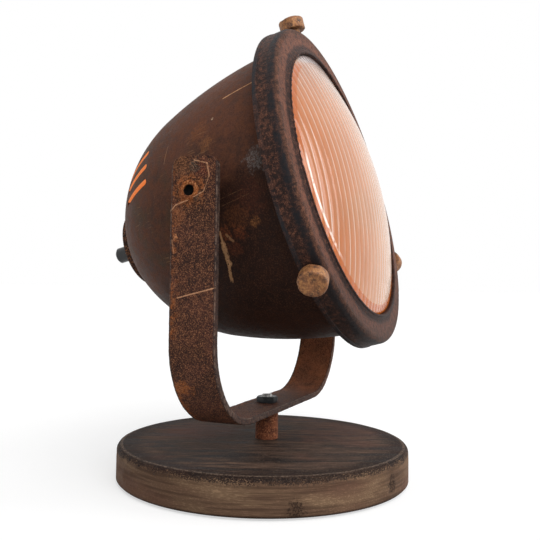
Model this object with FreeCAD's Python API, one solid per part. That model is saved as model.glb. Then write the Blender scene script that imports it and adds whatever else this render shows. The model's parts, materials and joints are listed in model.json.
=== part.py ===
import FreeCAD, Part

import math
import os

from FreeCAD import Rotation, Vector

# Tabletop searchlight lamp, in millimetres, +Z up. The origin is the middle of the underside,
# where the pad meets the table. The light points along -Y, and the tilt axis runs along X.

# Wooden base and the pad under it
base_diameter = 200.0
base_thickness = 23.0
base_top_round = 3.5
base_foot_chamfer = 1.0
pad_thickness = 1.5
pad_inset = 6.0

# Clamp rod through the base, the post and the yoke
rod_diameter = 8.0
rod_clearance = 0.2
rod_end_chamfer = 0.8
rod_overhang = 1.6
nut_across_flats = 13.0
foot_nut_height = 6.5
top_nut_height = 3.8
nut_chamfer = 0.4
nut_corner_share = 0.04
washer_thickness = 1.0
washer_rim = 4.0
slip_washer_thickness = 0.5
pocket_clearance = 2.0

# Post, which stands a little off the middle of the base
post_diameter = 16.0
post_height = 19.3
post_offset = 7.0
bush_wall = 2.0
bush_flange_thickness = 1.5
running_clearance = 0.05

# Yoke, a flat bar bent into a U
bar_width = 30.0
bar_thickness = 4.0
bar_edge_round = 0.6
bend_inner_radius = 50.0
arm_end_round = 7.0
arm_above_pivot = 20.0

# Tilt pivot
swing_clearance = 9.69
pivot_behind_arm = 3.0
rest_tilt_deg = 15.0
pivot_diameter = 8.0
pivot_head_diameter = 12.0
pivot_head_height = 1.6
pivot_socket_across_flats = 5.0
pivot_socket_depth = 3.5
pivot_overhang = 2.0
pivot_hole_clearance = 0.2
tilt_washer_diameter = 22.0
tilt_washer_thickness = 1.0
spacer_diameter = 16.0
spacer_length = 13.58
doubler_diameter = 30.0
doubler_thickness = 2.0
pivot_nut_height = 6.5

# Bowl: places along the lamp axis are counted forward from the tilt axis
bowl_wall = 1.5
mouth_place = 46.9
mouth_radius = 101.2
flank_place = -38.2
flank_radius = 84.3
flank_bulge = 3.0
back_place = -99.7
rim_step = 4.8
rim_shoulder = 2.0
rim_front_gap = 1.4

# Vent slots, a group on each side of the top
slot_width = 4.0
slot_length = 34.0
slot_lean_deg = 45.0
slot_front_place = -51.0
slots_in_group = 3
slot_step_deg = 9.0
slot_group_from_level_deg = 28.0

# Rear cap, the hollow stem behind the lampholder and the cord gland
cap_wall = 1.2
cap_skirt = 4.7
cap_rise = 7.2
cap_edge_round = 2.0
stem_diameter = 10.0
stem_bore = 7.0
stem_grip_in_holder = 6.0
stem_nut_across_flats = 14.0
stem_nut_height = 3.0
gland_wall = 1.0
gland_length = 17.0
gland_end_chamfer = 1.2
gland_cord_bore = 6.5
gland_thread_depth = 8.0

# Front ring that carries the glass
ring_wall = 1.5
ring_play = 3.7
ring_depth = 15.5
ring_front_round = 4.0
ring_back_lip = 0.4
ring_back_lip_width = 2.2
glass_bearing = 7.6
lip_rise = 2.1
lip_foot_width = 4.0
lip_crown_width = 1.8

# Glass, its gasket and the clips behind it
glass_clearance = 0.5
glass_wall = 3.0
glass_side_room = 4.5
glass_crown = 14.9
glass_shoulder_round = 2.5
gasket_thickness = 1.0
clip_count = 6
clip_width = 12.0
clip_wall = 0.8
clip_reach = 5.5
clip_foot = 2.4

# Thumb screws, a third of a turn apart round the front ring
screw_count = 3
screw_first_deg = 94.8
screw_depth_share = 0.51
screw_shank_diameter = 5.0
screw_tip_reach = 2.6
knob_diameter = 17.6
knob_height = 8.6
knob_edge_round = 1.6
knob_base_round = 0.5
knob_stand_off = 3.4
knob_neck_diameter = 9.0
boss_diameter = 7.0
boss_clearance = 0.5
rim_hole_clearance = 0.5

# Lampholder and lamp bulb, an E27 pair
holder_diameter = 40.0
holder_length = 44.0
holder_edge_round = 2.0
holder_floor = 12.0
thread_shell_wall = 0.6
thread_shell_floor_gap = 4.5
thread_shell_inset = 1.5
bulb_cap_diameter = 26.4
bulb_cap_length = 25.0
bulb_cap_seam = 1.0
bulb_contact_diameter = 10.0
bulb_contact_height = 2.0
bulb_thread_clearance = 0.1
bulb_diameter = 60.0
bulb_glass_length = 80.0
bulb_glass_wall = 1.0
bulb_neck_radius = 12.6
bulb_ball_start_deg = 215.0
bulb_waist_forward = 1.5
bulb_waist_inward = 1.8
contact_width = 8.0
contact_length_share = 0.7
contact_thickness = 0.8
contact_gap = 0.4
filament_post_diameter = 1.0
filament_post_spread = 9.0
filament_post_height = 40.0
filament_stem_diameter = 9.0
filament_stem_height = 22.0
filament_wire_diameter = 0.8
earth_screw_diameter = 4.0
earth_screw_length = 6.0
earth_head_diameter = 8.0
earth_head_height = 2.4
earth_screw_clearance = 2.0
earth_head_clearance = 0.3

# Sizes round the lamp axis that follow from the sizes above
rim_radius = mouth_radius + rim_step
ring_radius = rim_radius + ring_play + ring_wall
glass_flange_radius = rim_radius - bowl_wall - glass_side_room
lip_radius = glass_flange_radius - glass_bearing
glass_radius = lip_radius - glass_clearance
screw_tip_radius = rim_radius - screw_tip_reach
clip_first_deg = screw_first_deg + 180 / clip_count
gland_diameter = stem_diameter + 2 * gland_wall
earth_screw_from_axis = (holder_diameter + earth_screw_diameter) / 2 + earth_screw_clearance
back_radius = earth_screw_from_axis + earth_head_diameter / 2 + earth_head_clearance + cap_wall

# Places along the lamp axis that follow from them
ring_back_place = mouth_place
ring_front_place = ring_back_place + ring_depth
screw_place = ring_back_place + ring_depth * screw_depth_share
face_back_place = ring_front_place - ring_wall
glass_front_place = face_back_place - gasket_thickness
glass_back_place = glass_front_place - glass_wall
rim_front_place = face_back_place - rim_front_gap
cap_front_place = back_place
cap_dome_place = cap_front_place - cap_skirt
cap_apex_place = cap_dome_place - cap_rise
holder_back_place = back_place + bowl_wall
holder_front_place = holder_back_place + holder_length
holder_floor_place = holder_back_place + holder_floor
thread_shell_length = holder_length - holder_floor - thread_shell_floor_gap - thread_shell_inset
bulb_base_place = holder_floor_place + contact_thickness + contact_gap

# Heights that follow from them; the ring swings past the bar with its named clearance
base_top = pad_thickness + base_thickness
post_top = base_top + post_height
bar_bottom = post_top + bush_flange_thickness
bar_top = bar_bottom + bar_thickness
nut_seat = bar_top + slip_washer_thickness
rod_top = nut_seat + top_nut_height + rod_overhang
ring_swing = math.hypot(ring_radius, ring_front_place)
pivot = Vector(post_offset, pivot_behind_arm, bar_top + ring_swing + swing_clearance)
washer_diameter = nut_across_flats + washer_rim
pocket_depth = washer_thickness + foot_nut_height + rod_overhang + pocket_clearance

out_dir = "parts"
axis_y = Vector(0, 1, 0)
axis_z = Vector(0, 0, 1)


def save(name, *shapes):
    """Writes one node as one STEP file, with each solid kept apart."""
    solids = [solid for shape in shapes for solid in shape.Solids]
    shape = solids[0] if len(solids) == 1 else Part.makeCompound(solids)
    shape.exportStep(os.path.join(out_dir, name + ".step"))
    print(name, len(solids), "solid", round(sum(solid.Volume for solid in solids), 1), "mm3")


def fused(*shapes):
    """Joins shapes that are one piece of material."""
    return shapes[0].fuse(list(shapes[1:])).removeSplitter()


def outline_edges(outline, place):
    """Edges through an outline: a pair is a corner, and a triple of pairs marks an arc."""
    points = [step[-1] if isinstance(step[0], tuple) else step for step in outline]
    edges = []
    for index, step in enumerate(outline):
        start = place(*points[index - 1])
        end = place(*points[index])
        if start.distanceToPoint(end) < 1e-7:
            continue
        if isinstance(step[0], tuple):
            edges.append(Part.Arc(start, place(*step[0]), end).toShape())
        else:
            edges.append(Part.LineSegment(start, end).toShape())
    return edges


def lathe(outline):
    """Turns an outline of (place, radius) steps about the lamp axis."""
    edges = outline_edges(outline, lambda along, radius: Vector(0, -along, radius))
    face = Part.Face(Part.Wire(Part.__sortEdges__(edges)))
    return face.revolve(Vector(0, 0, 0), axis_y, 360)


def turned(outline, centre=Vector(0, 0, 0)):
    """Turns an outline of (radius, height) steps about an upright axis."""
    edges = outline_edges(outline, lambda radius, height: centre + Vector(radius, 0, height))
    face = Part.Face(Part.Wire(Part.__sortEdges__(edges)))
    return face.revolve(centre, axis_z, 360)


def quarter(centre_x, centre_y, radius, angle_deg):
    """Middle point of a rounded corner, for an outline."""
    angle = math.radians(angle_deg)
    return (centre_x + radius * math.cos(angle), centre_y + radius * math.sin(angle))


def tube(outer_diameter, bore, height, centre):
    """Upright tube or washer standing on the given centre."""
    body = Part.makeCylinder(outer_diameter / 2, height, centre, axis_z)
    return body.cut(Part.makeCylinder(bore / 2, height, centre, axis_z))


def hexagon(across_flats, height, base, direction):
    """Hexagonal prism with its middle on base, growing along direction."""
    corner = across_flats / math.sqrt(3)
    points = [Vector(*quarter(0, 0, corner, 60 * step), 0) for step in range(6)]
    prism = Part.Face(Part.makePolygon(points + points[:1])).extrude(axis_z * height)
    prism.rotate(Vector(0, 0, 0), *spin_to(direction))
    prism.translate(base)
    return prism


def spin_to(direction):
    """Axis and angle that turn +Z to the given direction."""
    turn = Rotation(axis_z, direction)
    return turn.Axis, math.degrees(turn.Angle)


def nut(across_flats, height, bore, base, direction):
    """Hexagon nut with its corners turned off at the free end."""
    body = hexagon(across_flats, height, base, direction)
    corner = across_flats * (0.5 + nut_corner_share)
    body = body.common(Part.makeCone(corner + height, corner - nut_chamfer, height, base, direction))
    return body.cut(Part.makeCylinder(bore / 2, height, base, direction))


def radial(angle_deg):
    """Unit direction square to the lamp axis, counted from +X upwards."""
    angle = math.radians(angle_deg)
    return Vector(math.cos(angle), 0, math.sin(angle))


def radial_rod(angle_deg, place, radius, inner, outer):
    """Round rod square to the lamp axis, between two distances from it."""
    direction = radial(angle_deg)
    base = direction * inner + Vector(0, -place, 0)
    return Part.makeCylinder(radius, outer - inner, base, direction)


def on_head(shape):
    """Tips a shape from the level lamp frame to its rest pose on the tilt axis."""
    shape.rotate(Vector(0, 0, 0), Vector(1, 0, 0), -rest_tilt_deg)
    shape.translate(pivot)
    return shape


def axial_cylinder(radius, back, front):
    """Cylinder on the lamp axis between two places."""
    return Part.makeCylinder(radius, front - back, Vector(0, -front, 0), axis_y)


class BowlCurve:
    """Two arcs that meet smoothly: the long flank and the rounded back of the bowl."""

    def __init__(self):
        mouth = Vector(mouth_place, mouth_radius, 0)
        self.knee = Vector(flank_place, flank_radius, 0)
        back = Vector(back_place, back_radius, 0)
        chord = self.knee - mouth
        half = chord.Length / 2
        self.flank_arc = (half * half + flank_bulge * flank_bulge) / (2 * flank_bulge)
        inward = Vector(-chord.y, chord.x, 0).normalize()
        middle = (mouth + self.knee) * 0.5
        self.flank_centre = middle + inward * (self.flank_arc - flank_bulge)
        self.inward = (self.flank_centre - self.knee).normalize()
        span = back - self.knee
        self.back_arc = span.Length ** 2 / (2 * self.inward.dot(span))
        self.back_centre = self.knee + self.inward * self.back_arc

    def radius(self, place, depth=0.0):
        """Radius of the skin that lies the given depth inside the outer one."""
        knee = self.knee + self.inward * depth
        centre, arc = self.flank_centre, self.flank_arc
        if place < knee.x:
            centre, arc = self.back_centre, self.back_arc
        return centre.y + math.sqrt((arc - depth) ** 2 - (place - centre.x) ** 2)

    def steps(self, depth, back, front):
        """Outline steps of a skin from its back end to its front end."""
        knee = self.knee + self.inward * depth
        start = (back, self.radius(back, depth))
        middles = [(back + knee.x) / 2, (knee.x + front) / 2]
        first = (middles[0], self.radius(middles[0], depth))
        second = (middles[1], self.radius(middles[1], depth))
        end = (front, self.radius(front, depth))
        return start, first, (knee.x, knee.y), second, end

    def normal(self, place):
        """Direction along the axis and outwards that is square to the skin there."""
        centre = self.flank_centre if place >= self.knee.x else self.back_centre
        return (Vector(place, self.radius(place), 0) - centre).normalize()

    def core(self, depth):
        """Solid that fills the bowl up to a skin at the given depth."""
        start, first, knee, second, end = self.steps(depth, back_place + depth, mouth_place)
        return lathe([(start[0], 0.0), start, (first, knee), (second, end), (mouth_place, 0.0)])


bowl_curve = BowlCurve()
yoke_inside_width = 2 * (bowl_curve.radius(0.0) + spacer_length + tilt_washer_thickness)
yoke_outside_width = yoke_inside_width + 2 * bar_thickness


def wooden_base():
    radius = base_diameter / 2
    rounding = base_top_round
    low = pad_thickness
    high = base_top
    body = turned([
        (0.0, low),
        (radius - base_foot_chamfer, low),
        (radius, low + base_foot_chamfer),
        (radius, high - rounding),
        (quarter(radius - rounding, high - rounding, rounding, 45), (radius - rounding, high)),
        (0.0, high),
    ])
    foot = Vector(post_offset, 0, low)
    pocket_radius = washer_diameter / 2 + pocket_clearance
    body = body.cut(Part.makeCylinder(pocket_radius, pocket_depth, foot, axis_z))
    return body.cut(Part.makeCylinder(rod_diameter / 2 + rod_clearance, base_thickness, foot, axis_z))


def base_pad():
    return Part.makeCylinder(base_diameter / 2 - pad_inset, pad_thickness)


def clamp_rod():
    bottom = pad_thickness + pocket_clearance
    radius = rod_diameter / 2
    return turned([
        (0.0, bottom),
        (radius - rod_end_chamfer, bottom),
        (radius, bottom + rod_end_chamfer),
        (radius, rod_top - rod_end_chamfer),
        (radius - rod_end_chamfer, rod_top),
        (0.0, rod_top),
    ], Vector(post_offset, 0, 0))


def post_point(height):
    return Vector(post_offset, 0, height)


def foot_washer():
    seat = pad_thickness + pocket_depth - washer_thickness
    return tube(washer_diameter, rod_diameter + 2 * rod_clearance, washer_thickness, post_point(seat))


def foot_nut():
    seat = pad_thickness + pocket_depth - washer_thickness
    return nut(nut_across_flats, foot_nut_height, rod_diameter, post_point(seat), -axis_z)


def post_tube():
    return tube(post_diameter, rod_diameter + 2 * rod_clearance, post_height, post_point(base_top))


def swivel_bush():
    bore = rod_diameter + 2 * running_clearance
    flange = tube(post_diameter, bore, bush_flange_thickness, post_point(post_top))
    sleeve = tube(bore + 2 * bush_wall, bore, bar_thickness, post_point(bar_bottom))
    return fused(flange, sleeve)


def slip_washer():
    """Thin washer between the yoke, which turns, and the nut, which doesn't."""
    bore = rod_diameter + 2 * rod_clearance
    return tube(nut_across_flats, bore, slip_washer_thickness, post_point(bar_top))


def top_nut():
    return nut(nut_across_flats, top_nut_height, rod_diameter, post_point(nut_seat), axis_z)


def yoke_bar():
    half_out = yoke_outside_width / 2
    half_in = yoke_inside_width / 2
    bend_outer = bend_inner_radius + bar_thickness
    bend_height = bar_bottom + bend_outer
    bend_place = half_out - bend_outer
    arm_top = pivot.z + arm_above_pivot
    outline = [
        (-half_out, arm_top),
        (-half_out, bend_height),
        (quarter(-bend_place, bend_height, bend_outer, 225), (-bend_place, bar_bottom)),
        (bend_place, bar_bottom),
        (quarter(bend_place, bend_height, bend_outer, 315), (half_out, bend_height)),
        (half_out, arm_top),
        (half_in, arm_top),
        (half_in, bend_height),
        (quarter(bend_place, bend_height, bend_inner_radius, 315), (bend_place, bar_top)),
        (-bend_place, bar_top),
        (quarter(-bend_place, bend_height, bend_inner_radius, 225), (-half_in, bend_height)),
        (-half_in, arm_top),
    ]
    start = Vector(post_offset, -bar_width / 2, 0)
    edges = outline_edges(outline, lambda x, z: start + Vector(x, 0, z))
    bent = Part.Face(Part.Wire(Part.__sortEdges__(edges))).extrude(axis_y * bar_width)

    half_width = bar_width / 2
    rounding = arm_end_round
    low = arm_top - rounding
    side = [
        (-half_width, bar_bottom),
        (half_width, bar_bottom),
        (half_width, low),
        (quarter(half_width - rounding, low, rounding, 45), (half_width - rounding, arm_top)),
        (-half_width + rounding, arm_top),
        (quarter(-half_width + rounding, low, rounding, 135), (-half_width, low)),
    ]
    left = Vector(post_offset - half_out, 0, 0)
    side_edges = outline_edges(side, lambda y, z: left + Vector(0, y, z))
    side_face = Part.Face(Part.Wire(Part.__sortEdges__(side_edges)))
    bar = bent.common(side_face.extrude(Vector(yoke_outside_width, 0, 0)))
    bar = softened(bar, bar_edge_round)

    hole_radius = pivot_diameter / 2 + running_clearance
    across = Vector(pivot.x - half_out, pivot.y, pivot.z)
    bar = bar.cut(Part.makeCylinder(hole_radius, yoke_outside_width, across, Vector(1, 0, 0)))
    bush_radius = rod_diameter / 2 + running_clearance + bush_wall
    return bar.cut(Part.makeCylinder(bush_radius, bar_thickness, post_point(bar_bottom), axis_z))


def softened(shape, radius):
    """Rounds the long edges on the two faces that look along the light and against it."""
    reach = shape.BoundBox.YMax - 1e-4
    long_edges = [
        edge for edge in shape.Edges
        if min(abs(vertex.Point.y) for vertex in edge.Vertexes) > reach
    ]
    return shape.makeFillet(radius, long_edges)


def both_sides(make):
    """Makes a piece for the -X arm and its mirror for the +X arm, on the tilted head."""
    near = make()
    far = near.mirror(Vector(0, 0, 0), Vector(1, 0, 0))
    return [on_head(near), on_head(far)]


def tilt_washer():
    inner = yoke_inside_width / 2 - tilt_washer_thickness
    base = Vector(-inner - tilt_washer_thickness, 0, 0)
    body = Part.makeCylinder(tilt_washer_diameter / 2, tilt_washer_thickness, base, Vector(1, 0, 0))
    bore = pivot_diameter / 2 + running_clearance
    return body.cut(Part.makeCylinder(bore, tilt_washer_thickness, base, Vector(1, 0, 0)))


def pivot_reach():
    """Distance from the lamp axis to the inner face of the pivot nut's seat."""
    return bowl_curve.radius(0.0, bowl_wall + doubler_thickness) - flat_loss()


def flat_loss():
    """How far a flat nut stands in from the curved skin, at its own rim."""
    skin = bowl_curve.radius(0.0, bowl_wall + doubler_thickness)
    corner = nut_across_flats / math.sqrt(3)
    across = skin - math.sqrt(skin * skin - corner * corner)
    along = skin - bowl_curve.radius(-corner, bowl_wall + doubler_thickness)
    return max(across, along)


def pivot_screw():
    """Low round-headed screw whose socket faces away from the lamp."""
    face = yoke_outside_width / 2
    tip = pivot_reach() - pivot_nut_height - pivot_overhang
    shank = pivot_diameter / 2
    head = pivot_head_diameter / 2
    ball = dome_radius(pivot_head_height, head)
    crown_at = face + pivot_head_height - ball + math.sqrt(ball * ball - head * head / 4)
    screw = turned([
        (0.0, tip),
        (shank, tip),
        (shank, face),
        (head, face),
        ((head / 2, crown_at), (0.0, face + pivot_head_height)),
    ])
    mouth = Vector(0, 0, face + pivot_head_height)
    screw = screw.cut(hexagon(pivot_socket_across_flats, pivot_socket_depth, mouth, -axis_z))
    screw.rotate(Vector(0, 0, 0), axis_y, -90)
    return screw


def pivot_spacer():
    outer = yoke_inside_width / 2 - tilt_washer_thickness
    inner = bowl_curve.radius(0.0) - spacer_diameter
    base = Vector(-outer, 0, 0)
    body = Part.makeCylinder(spacer_diameter / 2, outer - inner, base, Vector(1, 0, 0))
    return body.cut(bowl_curve.core(0.0)).cut(pivot_hole())


def pivot_doubler():
    outer = bowl_curve.radius(0.0)
    base = Vector(-outer, 0, 0)
    plug = Part.makeCylinder(doubler_diameter / 2, outer / 2, base, Vector(1, 0, 0))
    plate = plug.common(bowl_curve.core(bowl_wall))
    plate = plate.cut(bowl_curve.core(bowl_wall + doubler_thickness))
    return plate.cut(pivot_hole())


def pivot_nut():
    return nut(
        nut_across_flats, pivot_nut_height, pivot_diameter,
        Vector(-pivot_reach(), 0, 0), Vector(1, 0, 0))


def bowl_shell():
    start, first, knee, second, end = bowl_curve.steps(0.0, back_place, mouth_place)
    inner_back = back_place + bowl_wall
    in_start, in_first, in_knee, in_second, in_end = bowl_curve.steps(bowl_wall, inner_back, mouth_place)
    shoulder = mouth_place + rim_shoulder
    rim_inner = rim_radius - bowl_wall
    hole = stem_diameter / 2
    body = lathe([
        (back_place, hole),
        start,
        (first, knee),
        (second, end),
        (shoulder, rim_radius),
        (rim_front_place, rim_radius),
        (rim_front_place, rim_inner),
        (shoulder + bowl_wall, rim_inner),
        in_end,
        (in_second, in_knee),
        (in_first, in_start),
        (inner_back, hole),
    ])
    for cutter in vent_cutters() + rim_hole_cutters() + [pivot_hole(), earth_rod()]:
        body = body.cut(cutter)
    return body


def vent_cutters():
    """Long slots that lie along the bowl, in a group on each side of its top."""
    middle_place = slot_front_place - slot_length / 2 * math.cos(math.radians(slot_lean_deg))
    outward = bowl_curve.normal(middle_place)
    centre = Vector(0, -middle_place, bowl_curve.radius(middle_place))
    normal = Vector(0, -outward.x, outward.y)
    along = Vector(1, 0, 0).cross(normal)
    half = slot_length / 2 - slot_width / 2
    side = slot_width / 2
    depth = slot_width * 3
    base = centre - normal * depth
    across = Vector(1, 0, 0)
    corners = [
        base + along * half + across * side,
        base - along * half + across * side,
        base - along * half - across * side,
        base + along * half - across * side,
    ]
    edges = [
        Part.LineSegment(corners[0], corners[1]).toShape(),
        Part.Arc(corners[1], base - along * (half + side), corners[2]).toShape(),
        Part.LineSegment(corners[2], corners[3]).toShape(),
        Part.Arc(corners[3], base + along * (half + side), corners[0]).toShape(),
    ]
    cutter = Part.Face(Part.Wire(edges)).extrude(normal * depth * 2)
    cutters = []
    for group_angle in (slot_group_from_level_deg, 180 - slot_group_from_level_deg):
        for index in range(slots_in_group):
            angle = group_angle + (index - (slots_in_group - 1) / 2) * slot_step_deg
            turned_cutter = cutter.copy()
            turned_cutter.rotate(Vector(0, 0, 0), axis_y, 90 - angle)
            cutters.append(turned_cutter)
    return cutters


def screw_angles():
    return [screw_first_deg + index * 360 / screw_count for index in range(screw_count)]


def rim_hole_cutters():
    radius = screw_shank_diameter / 2 + rim_hole_clearance
    return [radial_rod(angle, screw_place, radius, mouth_radius, ring_radius) for angle in screw_angles()]


def pivot_hole():
    """Drill that passes through both sides of the head for the pivot screws."""
    radius = pivot_diameter / 2 + pivot_hole_clearance
    base = Vector(-yoke_outside_width / 2, 0, 0)
    return Part.makeCylinder(radius, yoke_outside_width, base, Vector(1, 0, 0))


def dome_radius(rise, reach):
    """Radius of the ball whose cap has the given rise over the given reach."""
    return (reach * reach + rise * rise) / (2 * rise)


def rear_cap():
    reach = back_radius
    outer_ball = dome_radius(cap_rise, reach)
    outer_centre = cap_apex_place + outer_ball
    inner_ball = outer_ball - cap_wall
    inner_reach = reach - cap_wall
    hole = stem_diameter / 2
    inner_dome_place = outer_centre - math.sqrt(inner_ball ** 2 - inner_reach ** 2)
    mid_out = outer_middle(outer_centre, outer_ball, hole, reach)
    mid_in = outer_middle(outer_centre, inner_ball, hole, inner_reach)
    body = lathe([
        (cap_front_place, inner_reach),
        (cap_front_place, reach),
        (cap_dome_place, reach),
        (mid_out, (outer_centre - math.sqrt(outer_ball ** 2 - hole ** 2), hole)),
        (outer_centre - math.sqrt(inner_ball ** 2 - hole ** 2), hole),
        (mid_in, (inner_dome_place, inner_reach)),
    ])
    corner = [
        edge for edge in body.Edges
        if abs(edge.BoundBox.YMax - (-cap_dome_place)) < 1e-3
        and abs(edge.BoundBox.YMin - (-cap_dome_place)) < 1e-3
        and abs(edge.BoundBox.XMax - reach) < 0.01
    ]
    return body.makeFillet(cap_edge_round, corner)


def outer_middle(centre, ball, low, high):
    """A point of a dome half way between two radii."""
    radius = (low + high) / 2
    return (centre - math.sqrt(ball ** 2 - radius ** 2), radius)


def holder_stem():
    back = cap_apex_place - gland_thread_depth
    front = holder_back_place + stem_grip_in_holder
    return axial_cylinder(stem_diameter / 2, back, front).cut(axial_cylinder(stem_bore / 2, back, front))


def stem_nut():
    base = Vector(0, -back_place, 0)
    return nut(stem_nut_across_flats, stem_nut_height, stem_diameter, base, axis_y)


def cord_gland():
    seat = cap_apex_place
    end = seat - gland_length
    thread_end = seat - gland_thread_depth
    outer = gland_diameter / 2
    thread = stem_diameter / 2
    cord = gland_cord_bore / 2
    body = lathe([
        (seat + cap_wall, thread),
        (seat + cap_wall, outer),
        (end + gland_end_chamfer, outer),
        (end, outer - gland_end_chamfer),
        (end, cord),
        (thread_end, cord),
        (thread_end, thread),
    ])
    return body.cut(cap_filler())


def cap_filler():
    """Everything in front of the outer face of the rear cap."""
    ball = dome_radius(cap_rise, back_radius)
    return Part.makeSphere(ball, Vector(0, -(cap_apex_place + ball), 0))


def ring():
    crown = ring_front_place + lip_rise
    wall_inner = ring_radius - ring_wall
    round_centre = ring_front_place - ring_front_round
    round_radius = ring_radius - ring_front_round
    inner_round = ring_front_round - ring_wall
    lip_outer = ring_radius + ring_back_lip
    lip_end = ring_back_place + ring_back_lip_width
    body = lathe([
        (ring_back_place, wall_inner),
        (ring_back_place, lip_outer),
        (lip_end, lip_outer),
        (lip_end + ring_back_lip, ring_radius),
        (round_centre, ring_radius),
        (quarter(round_centre, round_radius, ring_front_round, 45), (ring_front_place, round_radius)),
        (ring_front_place, lip_radius + lip_foot_width),
        (crown - lip_crown_width / 2, lip_radius + lip_crown_width),
        ((crown, lip_radius + lip_crown_width / 2), (crown - lip_crown_width / 2, lip_radius)),
        (face_back_place, lip_radius),
        (face_back_place, round_radius),
        (quarter(round_centre, round_radius, inner_round, 45), (round_centre, wall_inner)),
    ])
    for angle in screw_angles():
        hole = screw_shank_diameter / 2 + running_clearance
        body = body.cut(radial_rod(angle, screw_place, hole, rim_radius, ring_radius + ring_wall))
    return body


def clamp_boss(angle):
    inner = rim_radius + boss_clearance
    wall_inner = ring_radius - ring_wall
    body = radial_rod(angle, screw_place, boss_diameter / 2, inner, ring_radius)
    body = body.common(axial_cylinder(wall_inner, ring_back_place, ring_front_place))
    hole = screw_shank_diameter / 2 + running_clearance
    return body.cut(radial_rod(angle, screw_place, hole, rim_radius, ring_radius))


def thumb_screw(angle):
    seat = ring_radius + knob_stand_off
    end = seat + knob_height
    knob = knob_diameter / 2
    base_round = knob_base_round
    edge = knob_edge_round
    neck = knob_neck_diameter / 2
    shank = screw_shank_diameter / 2
    collar = ring_radius + ring_back_lip
    screw = turned([
        (0.0, screw_tip_radius),
        (shank - rod_end_chamfer, screw_tip_radius),
        (shank, screw_tip_radius + rod_end_chamfer),
        (shank, collar),
        (neck, collar),
        (neck, seat),
        (knob - base_round, seat),
        (quarter(knob - base_round, seat + base_round, base_round, 315), (knob, seat + base_round)),
        (knob, end - edge),
        (quarter(knob - edge, end - edge, edge, 45), (knob - edge, end)),
        (0.0, end),
    ])
    screw.rotate(Vector(0, 0, 0), axis_y, 90 - angle)
    screw.translate(Vector(0, -screw_place, 0))
    return screw


def glass_lens():
    shoulder = ring_front_place + lip_rise - glass_shoulder_round
    outer_ball = dome_radius(glass_crown + glass_shoulder_round, glass_radius)
    apex = shoulder + glass_crown + glass_shoulder_round
    centre = apex - outer_ball
    inner_ball = outer_ball - glass_wall
    inner_reach = glass_radius - glass_wall
    inner_end = centre + math.sqrt(inner_ball ** 2 - inner_reach ** 2)
    body = lathe([
        (glass_back_place, inner_reach),
        (glass_back_place, glass_flange_radius),
        (glass_front_place, glass_flange_radius),
        (glass_front_place, glass_radius),
        (shoulder, glass_radius),
        (front_middle(centre, outer_ball, glass_radius), (apex, 0.0)),
        (apex - glass_wall, 0.0),
        (front_middle(centre, inner_ball, inner_reach), (inner_end, inner_reach)),
    ])
    corner = [
        edge for edge in body.Edges
        if abs(edge.BoundBox.YMax + shoulder) < 1e-3
        and abs(edge.BoundBox.YMin + shoulder) < 1e-3
        and abs(edge.BoundBox.XMax - glass_radius) < 0.01
    ]
    return body.makeFillet(glass_shoulder_round, corner)


def front_middle(centre, ball, reach):
    """A point of a forward dome half way out."""
    return (centre + math.sqrt(ball ** 2 - reach ** 2 / 4), reach / 2)


def lens_gasket():
    outer = axial_cylinder(glass_flange_radius, glass_front_place, face_back_place)
    return outer.cut(axial_cylinder(lip_radius, glass_front_place, face_back_place))


def lens_clip(angle):
    """Bent strip fixed behind the ring's face, with its tongue behind the glass."""
    inner = glass_flange_radius - clip_reach
    leg = glass_flange_radius + clip_wall
    outer = leg + clip_wall
    back = glass_back_place - clip_wall
    half = clip_width / 2
    tongue = Part.makeBox(clip_width, clip_wall, outer - inner, Vector(-half, -glass_back_place, inner))
    riser = Part.makeBox(clip_width, face_back_place - back, clip_wall, Vector(-half, -face_back_place, leg))
    foot = Part.makeBox(clip_width, clip_wall, clip_foot, Vector(-half, -face_back_place, leg))
    clip = fused(tongue, riser, foot)
    clip.rotate(Vector(0, 0, 0), axis_y, 90 - angle)
    return clip


def lens_clips():
    return [lens_clip(clip_first_deg + index * 360 / clip_count) for index in range(clip_count)]


def shell_radius():
    """Inner radius of the brass thread shell round the bulb's cap."""
    return bulb_cap_diameter / 2 + bulb_thread_clearance


def lampholder():
    outer = holder_diameter / 2
    bore = shell_radius() + thread_shell_wall
    edge = holder_edge_round
    stem = stem_diameter / 2
    stem_end = holder_back_place + stem_grip_in_holder
    return lathe([
        (holder_back_place, stem),
        (holder_back_place, outer),
        (holder_front_place - edge, outer),
        (quarter(holder_front_place - edge, outer - edge, edge, 45), (holder_front_place, outer - edge)),
        (holder_front_place, bore),
        (holder_floor_place, bore),
        (holder_floor_place, 0.0),
        (stem_end, 0.0),
        (stem_end, stem),
    ])


def thread_shell():
    front = holder_front_place - thread_shell_inset
    back = front - thread_shell_length
    return axial_cylinder(shell_radius() + thread_shell_wall, back, front).cut(
        axial_cylinder(shell_radius(), back, front))


def holder_contact():
    """Sprung brass tongue on the floor of the lampholder."""
    length = bulb_cap_diameter * contact_length_share
    return Part.makeBox(
        contact_width, contact_thickness, length,
        Vector(-contact_width / 2, -holder_floor_place - contact_thickness, -length / 2))


def bulb_cap():
    back = bulb_base_place
    tip = bulb_contact_diameter / 2
    body_back = back + bulb_contact_height
    cone_end = body_back + bulb_contact_height * 2
    front = back + bulb_cap_length
    outer = bulb_cap_diameter / 2
    inner = bulb_neck_radius
    seam_back = front - bulb_cap_seam * 3
    return lathe([
        (back, 0.0),
        (back, tip),
        (body_back, tip),
        (cone_end, outer),
        (front, outer),
        (front, inner),
        (seam_back, inner),
        (seam_back, 0.0),
    ])


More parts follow.
